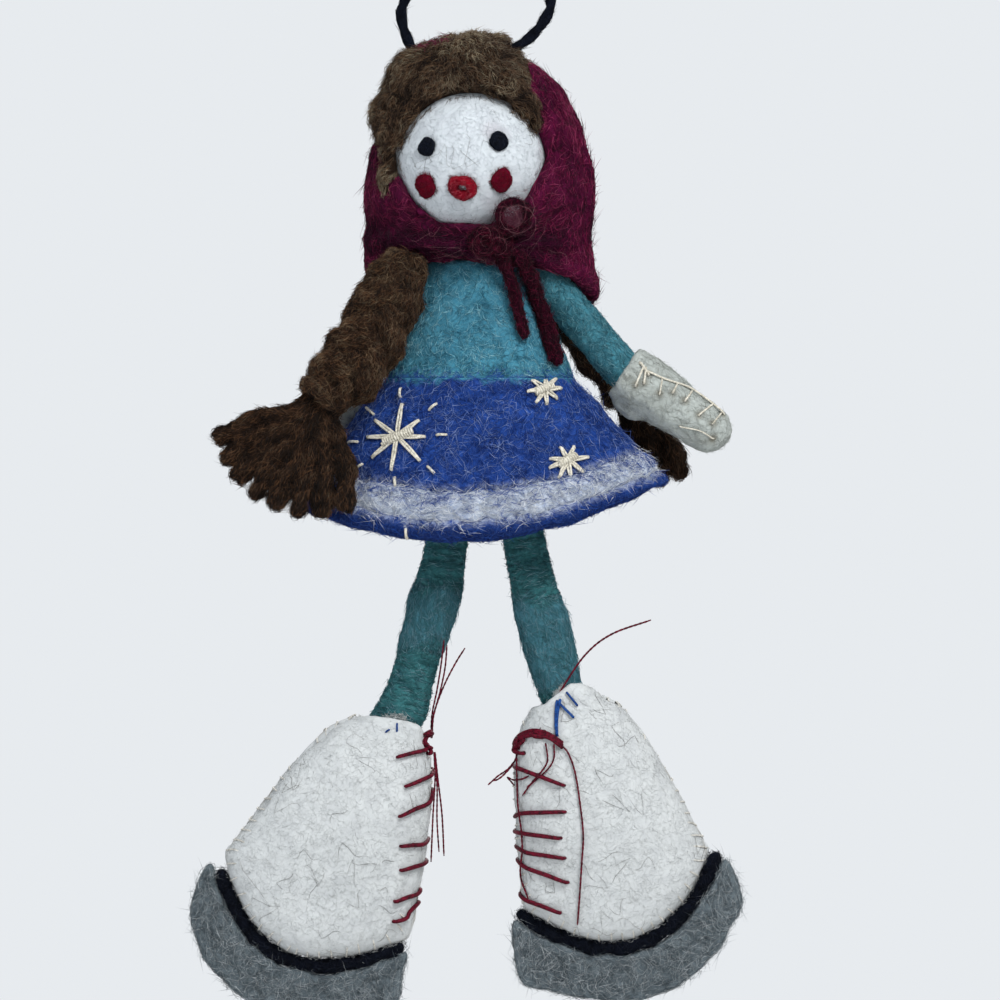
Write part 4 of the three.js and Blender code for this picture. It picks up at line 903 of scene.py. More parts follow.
dress = felted("dress", ["bodice", "skirt"], 0.65, 26, ((9, 0.4), (3, 0.14)), seed=8, shape=flared)
skirt = dress
bodice = dress.copy()
bodice.data = dress.data.copy()
bpy.context.scene.collection.objects.link(bodice)
for piece, name, upper in ((bodice, "bodice_felt", True), (skirt, "skirt_felt", False)):
    piece.name = piece.data.name = name
    only(piece)
    bpy.ops.object.mode_set(mode="EDIT")
    bpy.ops.mesh.select_all(action="SELECT")
    bpy.ops.mesh.bisect(
        plane_co=(0, 0, WAIST * MM), plane_no=(0, 0, 1), use_fill=True,
        clear_inner=upper, clear_outer=not upper,
    )
    bpy.ops.object.mode_set(mode="OBJECT")
    p = points_of(piece)
    uneven = 1.1 * ripple(p, 5, 81) + 0.7 * ripple(p, 1.7, 82)
    if upper:
        mark(piece, "blue", np.clip((WAIST + 0.7 + uneven - p[:, 2]) / 0.8, 0, 1))
    else:
        mark(piece, "teal", np.clip((p[:, 2] - WAIST + 1.2 + uneven) / 0.8, 0, 1))
band = felted("band_felt", ["skirt_band"], 0.45, 18, ((5, 0.35), (1.6, 0.14)), seed=9, shape=flared)
swelled(band, 0.3)
p, n = points_of(band), normals_of(band)
p[:, 2] += np.where(n[:, 2] > 0, 0.1, 0.9) * n[:, 2]  # its lower edge closes over the skirt's
set_points(band, p)
band_tree = tree_of(band)
skirt_points = points_of(skirt)
outside = skirt_points[:, 2] < HEM_FROM
whitened = np.zeros(len(skirt_points))
whitened[outside] = near_form(skirt_points[outside], band_tree, 1.8)
# Painted shade on the skirt just under the band's lower edge
hem_shade = np.zeros(len(skirt_points))
for i in np.nonzero(outside)[0]:
    hit = band_tree.find_nearest(Vector(skirt_points[i]))[0]
    hem_shade[i] = rising(hit.z - skirt_points[i, 2], 0.6, 1.6)
mark(skirt, "hem_shade", hem_shade)
mark(skirt, "white", whitened * (1 - 0.5 * hem_shade) * np.clip(0.75 + 0.6 * ripple(skirt_points, 2.0, 83), 0, 1))
mark(band, "blue", np.clip(0.1 + 0.7 * ripple(points_of(band), 3, 84) - 0.45, 0, 1))
placed(bodice, "doll", bodice_wool, ["bodice"])
placed(skirt, "doll", skirt_wool, ["skirt"])
placed(band, "doll", band_wool, ["skirt_band"])
inner = felted("inner_body", ["body_core"], 0.8, 12, ((4, 0.15),), seed=10)
placed(inner, "doll", core_wool, ["body_core"])

# ---------------------------------------------------------------- arms and mittens
for side, body in (("left", "left_arm"), ("right", "right_arm")):
    arm = felted(f"sleeve_{side}", [f"arm_{side}"], 0.5, 16, ((5, 0.22), (2, 0.08)), seed=11)
    placed(arm, body, sleeve_wool, [f"arm_{side}"])
    mitten = felted(f"mitten_{side}_felt", [f"mitten_{side}"], 0.5, 12, ((4.5, 0.25), (1.8, 0.08)), seed=12)
    placed(mitten, body, mitten_felt, [f"mitten_{side}"])


# ---------------------------------------------------------------- legs
def run_along(points, line):
    """For each point: how far along the line it lies, from 0 to 1, and the line's direction there."""
    far = ((points[:, None, :] - line[None]) ** 2).sum(axis=2)
    nearest = far.argmin(axis=1)
    along = np.gradient(line, axis=0)
    along /= np.linalg.norm(along, axis=1, keepdims=True)
    return nearest / (len(line) - 1), along[nearest], line[nearest]


leg_routes = {
    "right": [(-4.9, -165.05), (-7.15, -184.45), (-10.07, -198.46), (-16.15, -218.94), (-19.16, -225.26),
              (-22.17, -231.57)],
    "left": [(6, -165.05), (9.06, -182.26), (11.71, -194.69), (16.18, -212.86), (18.17, -219.57),
             (20.16, -226.28)],
}
leg_lines = {
    side: smooth_line([(x, MIDDLE, z) for x, z in route], 140) for side, route in leg_routes.items()
}
# Height in mm against the leg's radius in the photograph, and where the loose knee wool starts and ends
leg_sizes = {
    "right": ([-226, -221, -215.5, -210, -204, -197, -188, -180],
              [5.2, 5.5, 4.7, 4.45, 5.0, 5.4, 4.5, 4.4]),
    "left": ([-222, -216, -209, -201, -193, -187, -180], [4.4, 4.6, 5.4, 5.5, 4.7, 4.5, 4.4]),
}
knee_spans = {"right": (-207.5, -194.5), "left": (-217.5, -197)}
legs = {}
for side in ("right", "left"):
    leg = felted(f"leg_{side}_wool", [f"leg_{side}"], 0.4, 16, (), seed=13)
    p, n = points_of(leg), normals_of(leg)
    share, along, centre = run_along(p, leg_lines[side])
    away = p - centre
    away -= along * (away * along).sum(axis=1, keepdims=True)
    radius = np.linalg.norm(away, axis=1)
    outer = rising(radius, 2.2, 1.2)
    out = away / (radius[:, None] + 1e-6)
    heights, sizes = leg_sizes[side]
    wanted = np.interp(p[:, 2], heights, sizes)
    shown = rising(p[:, 2], -229, 3) * falling(p[:, 2], -172, 6)
    low, high = knee_spans[side]
    wobble = 1.2 * ripple(p, 6, 131)
    knee = np.clip((p[:, 2] - low + wobble) / 2.0, 0, 1) * np.clip((high - p[:, 2] + wobble) / 2.0, 0, 1)
    angle = np.arctan2(out[:, 1], out[:, 0])
    length = share * length_of(leg_lines[side])
    wraps = np.sin(2 * math.pi * length / 1.5 + angle + 0.9 * ripple(p, 7, 132))
    fine = np.sin(2 * math.pi * length / 0.8 + 2 * angle + ripple(p, 5, 133))
    groove = wraps * (0.08 + 0.07 * ripple(p, 3, 135)) + fine * 0.04 + 0.12 * ripple(p, 2.5, 136)
    rise = (wanted - radius) * shown + groove * (1 - knee) + 0.22 * ripple(p, 4, 134) * knee
    set_points(leg, p + out * (rise * outer)[:, None])
    mark(leg, "knee", knee)
    # The grooves between the wraps get painted shade.
    mark(leg, "groove", np.clip(-0.35 - wraps, 0, 1) * (1 - knee) * np.clip(0.5 + ripple(p, 4, 137), 0, 1))
    placed(leg, f"{side}_leg", leg_wool, [f"leg_{side}"])
    legs[side] = leg

# ---------------------------------------------------------------- boots
BOOTS = {  # top of the boot, its tilt, the side the toe is on, and its body
    "right": (neck(-18.3, 0, -100.4), 25.5, 1, "right_boot"),
    "left": (neck(17.6, 0, -94.6), -16.5, -1, "left_boot"),
}
BOOT_HEIGHT = 41.3  # mm from the boot's top to the ends of its sole
SOLE_DROP = 13.2  # how much lower the middle of the sole hangs
SOLE_HALF = 21  # half the sole's length


def boot_half(t):
    """Half the boot's width in mm, from its top (t 0) to its sole (t 1)."""
    return 7.2 + (SOLE_HALF - 7.2) * t**0.55


def boot_place(side, x, y, z):
    """A point of the boot's own frame, in mm, whose axis runs down from the boot's top."""
    top, tilt, _, _ = BOOTS[side]
    a = math.radians(tilt)
    return top + Vector((x * math.cos(a) + z * math.sin(a), y, -x * math.sin(a) + z * math.cos(a)))


def boot_edge(side, s, t, out=0.0, y=0.0):
    """A point on the boot's outline: s runs from heel to toe and t from top to sole."""
    toe = BOOTS[side][2]
    height = BOOT_HEIGHT + SOLE_DROP * (1 - s * s)
    slope = math.atan2(2 * SOLE_DROP * s, SOLE_HALF)
    x = toe * s * boot_half(t) + toe * out * math.sin(slope)
    return boot_place(side, x, y, -t * height - out * math.cos(slope))


# How the felt rises at the top of each boot: mm across the boot against mm of rise
TOP_RISE = {
    "right": ([-11, -7.2, -4, -1.1, 2.5, 5, 7.4, 9.5], [0, -2.0, -0.2, 0.9, 1.5, 1.6, 0.4, 0]),
    "left": ([-11, -8, -4, -1, 2.5, 5, 8.2, 11], [0, -0.8, -0.6, 0.6, 1.9, 1.2, -1.5, 0]),
}
# How much fuller the felt is toward the toe: mm above the boot's top against mm outward
TOE_SWELL = {
    "right": ([-44, -40, -36, -31, -26, -20, -12, -8], [1.0, 1.8, 2.1, 1.6, 1.3, 1.0, 0.2, 0]),
    "left": ([-44, -8], [0, 0]),
}


def domed(side):
    """Rounds the top edge of a boot's felt as in the photograph."""
    top, tilt, toe, _ = BOOTS[side]
    a = math.radians(tilt)
    across = np.array((math.cos(a), 0, -math.sin(a)))
    up = np.array((math.sin(a), 0, math.cos(a)))

    def shape(points):
        away = points - np.array(top)
        high = np.clip(1 + (away @ up) / 10, 0, 1)
        rise = np.interp(away @ across, *TOP_RISE[side]) * high * high * (3 - 2 * high)
        low = np.clip(-(away @ up) / BOOT_HEIGHT, 0, 1)
        edge = rising((away @ across) * toe / boot_half(low), 0.6, 0.4)
        wider = np.interp(away @ up, *TOE_SWELL[side]) * edge * toe
        return points + up * rise[:, None] + across * wider[:, None]

    return shape


boot_trees = {}
for side, (*_, body) in BOOTS.items():
    panels = []
    for face in ("front", "back"):
        node = f"boot_{side}_{face}_panel"
        panel = felted(f"boot_{side}_{face}_felt", [node], 0.5, 16, ((9, 0.3), (3, 0.05)), seed=14)
        p = domed(side)(points_of(panel))
        away = p[:, 1] - MIDDLE  # both panels meet at the seam
        drawn_in = np.interp(np.abs(away), [0, 1.3, 2.7, 4.5, 40], [0, 0.1, 1.9, 4.5, 40])
        p[:, 1] = MIDDLE + np.sign(away) * drawn_in
        set_points(panel, p)
        seam = np.clip(1 - (np.abs(p[:, 1] - MIDDLE) - 0.4) / 1.6, 0, 1)
        mark(panel, "edge", seam * np.clip(0.55 + 0.7 * ripple(p, 4, 141), 0, 1))
        placed(panel, body, boot_felt, [node])
        panels.append(panel)
    boot_trees[side] = tree_of(*panels)
    # Wool felted into the seam, fuller toward the boot's mouth
    edge = [(-0.86, 0.06), (-0.88, 0.12), (-0.91, 0.2)]
    edge += [(-0.96, t) for t in (0.32, 0.45, 0.6, 0.75, 0.9)]
    edge += [(-1 + i / 7, 1) for i in range(15)] + [(-s, t) for s, t in reversed(edge)]
    line = smooth_line(domed(side)(np.array([boot_edge(side, s, t, -1.3) for s, t in edge])), 150)
    thick = np.interp(np.abs(np.linspace(-1, 1, 150)), [0, 0.5, 0.8, 0.96, 1], [0.75, 1.0, 1.45, 1.4, 0.8])
    placed(strand(f"boot_{side}_seam", line, 1.05, 2, thick), body, boot_felt)
    filling = felted(f"boot_{side}_filling", [f"boot_{side}_stuffing"], 0.9, 8, (), seed=15)
    placed(filling, body, core_wool, [f"boot_{side}_stuffing"])
    blade = felted(f"blade_{side}_felt", [f"boot_{side}_blade"], 0.5, 12, ((7, 0.3), (2.5, 0.1)), seed=16)
    swelled(blade, 0.3)
    if side == "right":  # its heel hangs a little lower
        p = points_of(blade)
        heel = falling(p[:, 0], -54, 10) ** 0.8
        p[:, 0] += 1.0 * heel
        p[:, 2] -= 2.4 * heel
        set_points(blade, p)
    placed(blade, body, blade_felt, [f"boot_{side}_blade"])
    first = -0.9 if side == "right" else -1
    sole = smooth_line([boot_edge(side, first + (1 - first) * i / 20, 1, 1.5) for i in range(21)], 90)
    cord = plied(f"sole_cord_{side}", sole, 1.85, plies=2, pitch=13, share=0.76)
    p, n = points_of(cord), normals_of(cord)
    set_points(cord, p + n * (0.3 * ripple(p, 4, 171) + 0.2 * ripple(p, 1.8, 172))[:, None])
    placed(cord, body, black_wool, [f"boot_{side}_sole_cord"])


# ---------------------------------------------------------------- braids and tassels
def plait(name, path, sizes, pitch, count=150):
    """Three strands of four yarns each, plaited round the path. sizes is the braid's radius along it."""
    line = smooth_line(path, count)
    one, two = side_frames(line)
    run = np.linspace(0, length_of(line), count)
    t = run / run[-1]
    radius = np.interp(t, *sizes)
    made, lines = [], []
    for k in range(3):
        turn = 2 * math.pi * (run / pitch + k / 3)
        wide, deep = radius * 0.5, radius * 0.32
        centre = line + one * (deep * np.sin(2 * turn))[:, None] + two * (wide * np.sin(turn))[:, None]
        thick = radius * 0.56 * tapered(count, 0.4, 0.5, 0.12)
        sub_one, sub_two = side_frames(centre)
        for j in range(4):
            spin = 2 * math.pi * (run / 46 + j / 4)
            off = thick * 0.46
            aside = sub_one * (off * np.cos(spin))[:, None]
            yarn = centre + aside + sub_two * (off * np.sin(spin))[:, None]
            made.append(strand(f"{name}_{k}_{j}", yarn, 1.0, 2, thick * 0.6))
            lines.append(yarn)
    return joined(name, made), lines


def wool_yarn(piece, seed, rise=1.0):
    """Makes plaited or twisted yarns into soft, uneven wool."""
    worked(piece, "REMESH", mode="VOXEL", voxel_size=0.5 * MM)
    worked(piece, "SMOOTH", factor=0.6, iterations=3)
    p, n = points_of(piece), normals_of(piece)
    up = 0.34 * ripple(p, 5, seed) + 0.3 * ripple(p, 2.4, seed + 1) + 0.12 * ripple(p, 1.3, seed + 2)
    set_points(piece, p + n * (up * rise)[:, None])
    return shaded_smooth(piece)


braid_paths = {
    "right": [(-15.6, -9.6, -123.2), (-17, -11.5, -127.05), (-21.2, -13.04, -135.9), (-26.3, -14.7, -145.4),
              (-33.2, -15.9, -153.05)],
    "left": [(14, 7.6, -123), (15, 9.1, -126.25), (19.55, 10.85, -135.28), (24.9, 12.12, -144.31),
             (30, 12.9, -152.05)],
}
braid_sizes = {
    "right": ([0, 0.12, 0.3, 0.55, 0.82, 0.93, 1], [3.4, 5.4, 6.9, 7.2, 7.2, 6.3, 4.4]),
    "left": ([0, 0.12, 0.3, 0.55, 0.8, 1], [3.0, 4.4, 5.0, 5.0, 4.4, 3.0]),
}
# Strands, length, first and last angle, how far back the first tip and how far in front the last tip
# lies, and the width at the root
tassels = {
    "right": (8, 22.6, 196, 291, 2.4, -5.1, 5.6),
    "left": (4, 17.6, 264, 306, 2.6, 0.4, 2.0),
}
yarn_lines = {}
for side, body in (("right", "front_braid"), ("left", "back_braid")):
    path = braid_paths[side]
    braid, lines = plait(f"braid_{side}_plait", path, braid_sizes[side], 27)
    wool_yarn(braid, 151, 1.3)
    placed(braid, body, braid_wool, [f"braid_{side}"])
    end, before = Vector(path[-1]), Vector(path[-2])
    along = (end - before).normalized()
    count, length, first, last, back, front, wide = tassels[side]
    root = end + along * (2.6 + 0.3 + 2.2 * 1.2)
    strands = []
    for i in range(count):
        share = i / (count - 1)
        angle = math.radians(first + (last - first) * share)
        reach = length * (0.91 + 0.09 * share)
        tip = Vector((root.x + reach * math.cos(angle), end.y + back + (front - back) * share,
                      root.z + reach * math.sin(angle)))
        bend = root.lerp(tip, 0.5)
        bend.z += 1.6 * math.cos(angle) ** 2
        bend.x += 2.6 * share**3
        bend.y += (tip.y - root.y) * 0.25
        aside = Vector((wide * (share - 0.35), 0, 0))
        start = root - along * 3.4 + aside + Vector((0, 0.9 * math.cos(i * 2.1), 0.9 * math.sin(i * 2.1)))
        line = smooth_line([start, root.lerp(bend, 0.1) + aside, bend + aside * 0.4, tip], 46)
        strands.append(plied(f"tassel_{side}_{i}", line, 2.25, plies=2, pitch=19, share=0.62,
                             ends=(0.8, 0.4), phase=i * 1.7))
        lines.append(line)
    tassel = wool_yarn(joined(f"tassel_{side}_yarns", strands), 161, 0.8)
    placed(tassel, body, braid_wool, [f"braid_{side}_tassel"])
    one = np.array(along.cross(Vector((0, 1, 0))).normalized())
    two = np.cross(np.array(along), one)
    rings = []
    for turn in np.linspace(0, 2 * math.pi * 4, 84):
        centre = np.array(end) + np.array(along) * (-1.0 + 2.9 * turn / (8 * math.pi))
        size = (4.4 if side == "right" else 3.4) + 0.3 * math.sin(turn * 1.3)
        rings.append(centre + size * (one * math.cos(turn) + two * math.sin(turn)))
    tie = strand(f"braid_{side}_binding", np.array(rings), 0.9, 2)
    placed(tie, body, braid_wool, [f"braid_{side}_tie"])
    yarn_lines[side] = (lines, braid, tassel, tie)


# ---------------------------------------------------------------- needlework
def in_felt(tree, point, deep):
    hit, normal, _, _ = tree.find_nearest(Vector(point))
    return hit - normal * deep


def ray_pair(tree, centre, tip, radius=0.27, gap=0.44):
    """One ray of a snowflake: two threads of floss side by side."""
    dx, dy = tip[0] - centre[0], tip[1] - centre[1]
    size = math.hypot(dx, dy)
    off = gap / PHOTO_SCALE / 2
    nx, ny = -dy / size * off, dx / size * off
    made = []
    for sign in (-1, 1):
        a = (centre[0] + dx * 0.08 + nx * sign, centre[1] + dy * 0.08 + ny * sign)
        m = (centre[0] + dx * 0.55 + nx * sign * 1.25, centre[1] + dy * 0.55 + ny * sign * 1.25)
        b = (tip[0] + nx * sign * 0.4, tip[1] + ny * sign * 0.4)
        made.append(sewn(tree, [a, m, b], radius, proud=0.3, sunk=0.3, count=9))
    return made


def wound_knot(tree, first, last, radius=0.75, floss_radius=0.27, pitch=0.56):
    """Thread wound round itself between two pixels, as in the middle of each snowflake."""
    a, b = seen(*first, tree, 0.55)[0], seen(*last, tree, 0.55)[0]
    core_line = smooth_line([a, a.lerp(b, 0.5) + Vector((0, -0.25, 0)), b], 30)
    turns = length_of(core_line) / pitch
    line = smooth_line(core_line, int(turns * 10) + 2)
    one, two = side_frames(line)
    angle = np.linspace(0, 2 * math.pi * turns, len(line))
    coil = line + radius * (one * np.cos(angle)[:, None] + two * np.sin(angle)[:, None])
    return joined("wound_knot", [strand("coil", coil, floss_radius, 1),
                                 strand("core", core_line, radius, 2, tapered(30, 0.5, 0.5, 0.15))])


skirt_tree = tree_of(skirt, band)
flakes = [
    ((398, 437),
     [(403, 405), (419, 421), (425, 437), (420, 461), (392, 470), (373, 458), (368, 438), (376, 421)],
     ((384, 443), (413, 431)), 0.9),
    ((544, 390),
     [(545, 376), (555, 380), (560, 389), (556, 399), (546, 404), (536, 402), (528, 392), (532, 381)],
     ((534, 393), (552, 386)), 0.75),
    ((567, 461),
     [(560, 448), (573, 447), (587, 458), (582, 472), (570, 476), (559, 477), (550, 468), (550, 459)],
     ((558, 465), (575, 457)), 0.75),
]
made = []
for centre, tips, (first, last), thick in flakes:
    for tip in tips:
        made += ray_pair(skirt_tree, centre, tip)
    made.append(wound_knot(skirt_tree, first, last, radius=thick))
# Short dashes between the rays of the large flake, each 8 pixels long
middle_x, middle_y = flakes[0][0]
for x, y in ((401, 393), (433, 407), (442, 435), (431, 470), (395, 482), (359, 467), (354, 443),
             (371, 412)):
    size = math.hypot(x - middle_x, y - middle_y)
    dx, dy = (x - middle_x) / size * 4, (y - middle_y) / size * 4
    made.append(sewn(skirt_tree, [(x - dx, y - dy), (x + dx, y + dy)], 0.3, proud=0.25, sunk=0.3, count=7))
made.append(sewn(skirt_tree, [(406, 530), (407, 537)], 0.3, proud=0.25, sunk=0.3, count=7))
snow = joined("snowflake_stitches", made)
placed(snow, "doll", floss)


def over_edge(side, outer, inner, radius=0.48, back_share=1.0):
    """A lace stitch from a pixel on the front, round the boot's edge, to the same place behind."""
    tree = boot_trees[side]
    toe = BOOTS[side][2]
    for share in (1, 0.9, 0.8, 0.7, 0.6):  # up to where the boot's front really ends
        end = [o + (i - o) * share for o, i in zip(outer, inner)]
        if seen(*end, tree)[1].y < -0.35:
            break
    a, m, b = (seen(outer[0] + (end[0] - outer[0]) * t, outer[1] + (end[1] - outer[1]) * t, tree,
                    0.36 + radius * 0.5)[0] for t in (0, 0.5, 1))
    way = (b - a).normalized()
    reach = abs((b.y - MIDDLE) / 2) + 1.5
    edge, normal, _, _ = tree.find_nearest(Vector((b.x + way.x * reach, MIDDLE, b.z + way.z * reach)))
    edge = edge + normal * radius * 0.6
    behind = []
    for p, share in ((b, 1.0), (a, back_share)):
        q = Vector((b.x + (p.x - b.x) * share, 2 * MIDDLE - p.y + 2, p.z + 0.6))
        hit, normal, _, _ = tree.find_nearest(q)
        behind.append(hit + normal * (0.25 + radius * 0.5))
    points = [in_felt(tree, a, 0.9), a, m, b, edge, *behind, in_felt(tree, behind[-1], 0.9)]
    return strand("lace", smooth_line(points, 38), radius, 2, tapered(38, 0.45, 0.6, 0.2))


def tangle(place, size, radius, seed, turns=3):
    """A small knot: one thread that passes over and under itself."""
    rng = np.random.default_rng(seed)
    t = np.linspace(0, 2 * math.pi, 70)
    phase = rng.uniform(0, 6.3, 3)
    curve = np.stack([
        np.sin(2 * t + phase[0]) * size[0] + 0.3 * size[0] * np.cos(turns * t),
        np.sin(turns * t + phase[1]) * size[1],
        np.cos(t + phase[2]) * size[2],
    ], axis=1)
    return strand("knot", np.array(place) + curve, radius, 2)


lace_pixels = {
    "right": [((398, 757), (430, 748)), ((406, 786), (432, 775)), ((400, 816), (430, 801)),
              ((401, 846), (427, 843)), ((401, 870), (423, 863)), ((395, 901), (417, 893)),
              ((394, 921), (416, 914))],
    "left": [((563, 785), (524, 770)), ((564, 812), (523, 813)), ((560, 838), (524, 833)),
             ((564, 858), (527, 852)), ((567, 882), (527, 867)), ((560, 912), (527, 899))],
}
for side in ("right", "left"):
    made = [over_edge(side, outer, inner) for outer, inner in lace_pixels[side]]
    laces = joined(f"laces_{side}", made)
    placed(laces, BOOTS[side][3], lace_thread)


def free_thread(name, pixels, depths, radius, body, tree=None, count=40):
    """A thread end that lies over the boot: pixels of the photograph, each with its depth in mm."""
    points = []
    for (x, y), depth in zip(pixels, depths):
        if depth is None:
            points.append(seen(x, y, tree, 0.35 + radius)[0])
        else:
            points.append(at_depth(pixel_ray(x, y), depth))
    line = smooth_line(points, count)
    piece = plied(name, line, radius, plies=2, pitch=2.2, share=0.7, ends=(0.8, 0.6), sides=1)
    placed(piece, body, lace_thread)
    return piece, line


right_tree, left_tree = boot_trees["right"], boot_trees["left"]
knot_at = seen(433, 742, right_tree, 0.4)[0]
right_knot = joined("lace_knot_right", [
    tangle(knot_at, (0.8, 0.9, 2.4), 0.42, 21),
    tangle(knot_at + Vector((0.1, -0.3, 0.4)), (0.9, 0.7, 1.6), 0.38, 22),
])
placed(right_knot, "right_boot", lace_thread)
for i, (pixels, depths) in enumerate((
    ([(431, 738), (432, 715), (437, 690), (441, 665), (444, 640)], [-3.5, -5.5, -6.5, -7, -7.5]),
    ([(432, 738), (433, 718), (440, 692), (445, 668), (447, 645)], [-3.5, -6, -7, -7.6, -8]),
    ([(432, 737), (434, 714), (443, 688), (455, 664), (465, 648)], [-3.5, -6, -6.8, -7.4, -8]),
    ([(434, 752), (435, 780), (433, 815), (431, 862)], [-3.5, -4.4, -4.6, -4.8]),
    ([(434, 752), (437, 785), (437, 820), (439, 852)], [-3.5, -4.2, -4.4, -4.6]),
    ([(435, 752), (438, 780), (442, 815), (444, 856)], [-3.5, -3.8, -4.0, -4.2]),
)):
    free_thread(f"lace_end_right_{i}", pixels, depths, 0.22, "right_boot")

band_pixels = [(517, 747), (522, 738), (535, 733), (549, 736), (561, 744)]
made = []
for off in (-2.2, 0.4, 3.0):
    spots = [(x, y + off * (0.6 + 0.4 * math.sin(x))) for x, y in band_pixels]
    made.append(sewn(left_tree, spots, 0.4, proud=0.35, sunk=0.2, count=26))
left_knot = seen(521, 745, left_tree, 0.5)[0]
made.append(tangle(left_knot, (1.0, 0.9, 1.8), 0.42, 23))
made.append(tangle(seen(540, 735, left_tree, 0.6)[0], (1.4, 0.6, 0.7), 0.36, 24))
placed(joined("lace_knot_left", made), "left_boot", lace_thread)
tail, line = free_thread(
    "lace_end_a", [(538, 733), (547, 716), (563, 687), (586, 654), (612, 634), (651, 620)],
    [-10.4, -9.8, -9.2, -9.5, -10, -10.5], 0.25, "left_boot", count=60)
tail, line = free_thread(
    "lace_end_b",
    [(560, 744), (568, 753), (575, 772), (580, 804), (583, 835), (582, 863), (580, 895), (578, 924)],
    [None] * 8, 0.25, "left_boot", left_tree, 60)
tail, line = free_thread(
    "lace_end_c", [(519, 747), (519, 770), (520, 804), (523, 830), (524, 850), (523, 875), (522, 902)],
    [None] * 7, 0.25, "left_boot", left_tree, 60)
for i, (pixels, depths) in enumerate((
    ([(517, 758), (508, 769), (498, 776), (488, 785)], [-5.5, -6.5, -7, -7.4]),
    ([(517, 757), (510, 768), (500, 778), (493, 781)], [-5.5, -6.6, -7.4, -7.8]),
    ([(507, 777), (513, 784), (517, 790), (516, 808)], [-6.2, -5.8, -5.2, -5]),
    ([(507, 777), (514, 780), (524, 779), (530, 776)], [-6.2, -6.2, None, None]),
    ([(546, 743), (548, 760), (543, 770), (533, 782), (524, 795)], [None] * 5),
    ([(554, 744), (554, 758), (549, 768), (539, 778), (528, 787)], [None] * 5),
)):
    free_thread(f"lace_end_left_{i}", pixels, depths, 0.22, "left_boot", left_tree, 30)

# Blue sewing thread where each boot is sewn to its leg
made = []
for pixels, radius in (
    ([(560, 701), (558, 712), (557, 724), (557, 735)], 0.34), ([(557, 702), (556, 714), (556, 728)], 0.3),
    ([(560, 704), (566, 710), (573, 717)], 0.28), ([(567, 693), (572, 699), (577, 705)], 0.24),
):
    made.append(sewn(left_tree, pixels, radius, proud=0.25, sunk=0.3, count=14))
placed(joined("sewing_thread_left", made), "left_boot", blue_thread)
made = [
    sewn(right_tree, [(397, 724), (397, 731)], 0.2, 0.02, 0.5, 8),
    sewn(right_tree, [(386, 732), (389, 730)], 0.2, 0.0, 0.5, 8),
]
placed(joined("sewing_thread_right", made), "right_boot", blue_thread)

# Whip stitches that close each boot's edge
rng = np.random.default_rng(51)
for side, (*_, body) in BOOTS.items():
    tree = boot_trees[side]
    outline = [(-1, t) for t in np.linspace(0.06, 0.97, 15)]
    outline += [(s, 1) for s in np.linspace(-0.93, 0.93, 17)]
    outline += [(1, t) for t in np.linspace(0.97, 0.06, 15)]
    centre = np.array(boot_place(side, 0, 0, -25))
    made = []
    for s, t in outline:
        edge = boot_edge(side, s, t)
        inward = (Vector(centre) - edge).normalized()
        slant = Vector((rng.uniform(-0.9, 0.9), 0, rng.uniform(-0.9, 0.9)))
        spots = []
        for y, deep, lean in ((-6, 1.9, 0.6), (-3, 0.9, 0.3), (0, -0.5, 0), (3, 0.9, -0.3), (6, 1.9, -0.6)):
            hit, normal, _, _ = tree.find_nearest(edge + inward * deep + slant * lean + Vector((0, y, 0)))
            spots.append(hit + normal * (0.16 if abs(y) < 5 else -0.3))
        made.append(strand("whip", smooth_line(spots, 13), 0.2, 1))
    placed(joined(f"whip_stitches_{side}", made), body, white_thread)

# Blanket stitch on the mittens
mitten_pixels = [
    ([(648.5, 372), (664.6, 380), (686.6, 387.5), (701, 397), (713, 405.7), (723, 414.5)], 0.24),
    ([(677, 384.4), (672.7, 392.5)], 0.2), ([(691, 392.5), (685, 400.5)], 0.22),
    ([(711.5, 405.7), (699.5, 415)], 0.22), ([(661.7, 380), (659.5, 393.4)], 0.18),
    ([(645.6, 369), (644, 382.7)], 0.26), ([(643, 368), (636, 385)], 0.26),
    ([(720.4, 414), (713, 423.3)], 0.18), ([(640, 364), (648, 374)], 0.3),
    ([(680.8, 426.2), (699.8, 430.6), (713, 438)], 0.16),
]
left_mitten = bpy.data.objects["mitten_left_felt"]
right_mitten = bpy.data.objects["mitten_right_felt"]
left_hand_tree, right_hand_tree = tree_of(left_mitten), tree_of(right_mitten)


def hand_frame(wrist, tip):
    """The wrist, the mitten's direction and the direction across it."""
    along = (neck(*tip) - neck(*wrist)).normalized()
    return neck(*wrist), along, along.cross(Vector((0, 1, 0))).normalized()


left_frame = hand_frame((31.4, 0, -25.4), (53.2, 0, -40.2))
right_frame = hand_frame((-27.8, 9.6, -28), (-40.2, 15.8, -49.2))
made, made_right, holes, holes_right = [], [], [], []
for pixels, radius in mitten_pixels:
    spots = [seen(x, y, left_hand_tree, 0.2 + radius)[0] for x, y in pixels]
    line = [in_felt(left_hand_tree, spots[0], 0.4), *spots, in_felt(left_hand_tree, spots[-1], 0.5)]
    made.append(strand("stitch", smooth_line(line, 8 + 3 * len(spots)), radius, 1))
    holes.append(spots[-1])
    moved = []
    for p in spots:
        local = p - left_frame[0]
        q = right_frame[0] + right_frame[1] * local.dot(left_frame[1])
        q = q + right_frame[2] * local.dot(left_frame[2]) * -1 + Vector((0, local.y, 0))
        hit, normal, _, _ = right_hand_tree.find_nearest(q)
        moved.append(hit + normal * (0.2 + radius))
    line = [in_felt(right_hand_tree, moved[0], 0.4), *moved, in_felt(right_hand_tree, moved[-1], 0.5)]
    made_right.append(strand("stitch", smooth_line(line, 8 + 3 * len(spots)), radius, 1))
    holes_right.append(moved[-1])
placed(joined("mitten_stitches_left", made), "left_arm", floss)
placed(joined("mitten_stitches_right", made_right), "right_arm", floss)
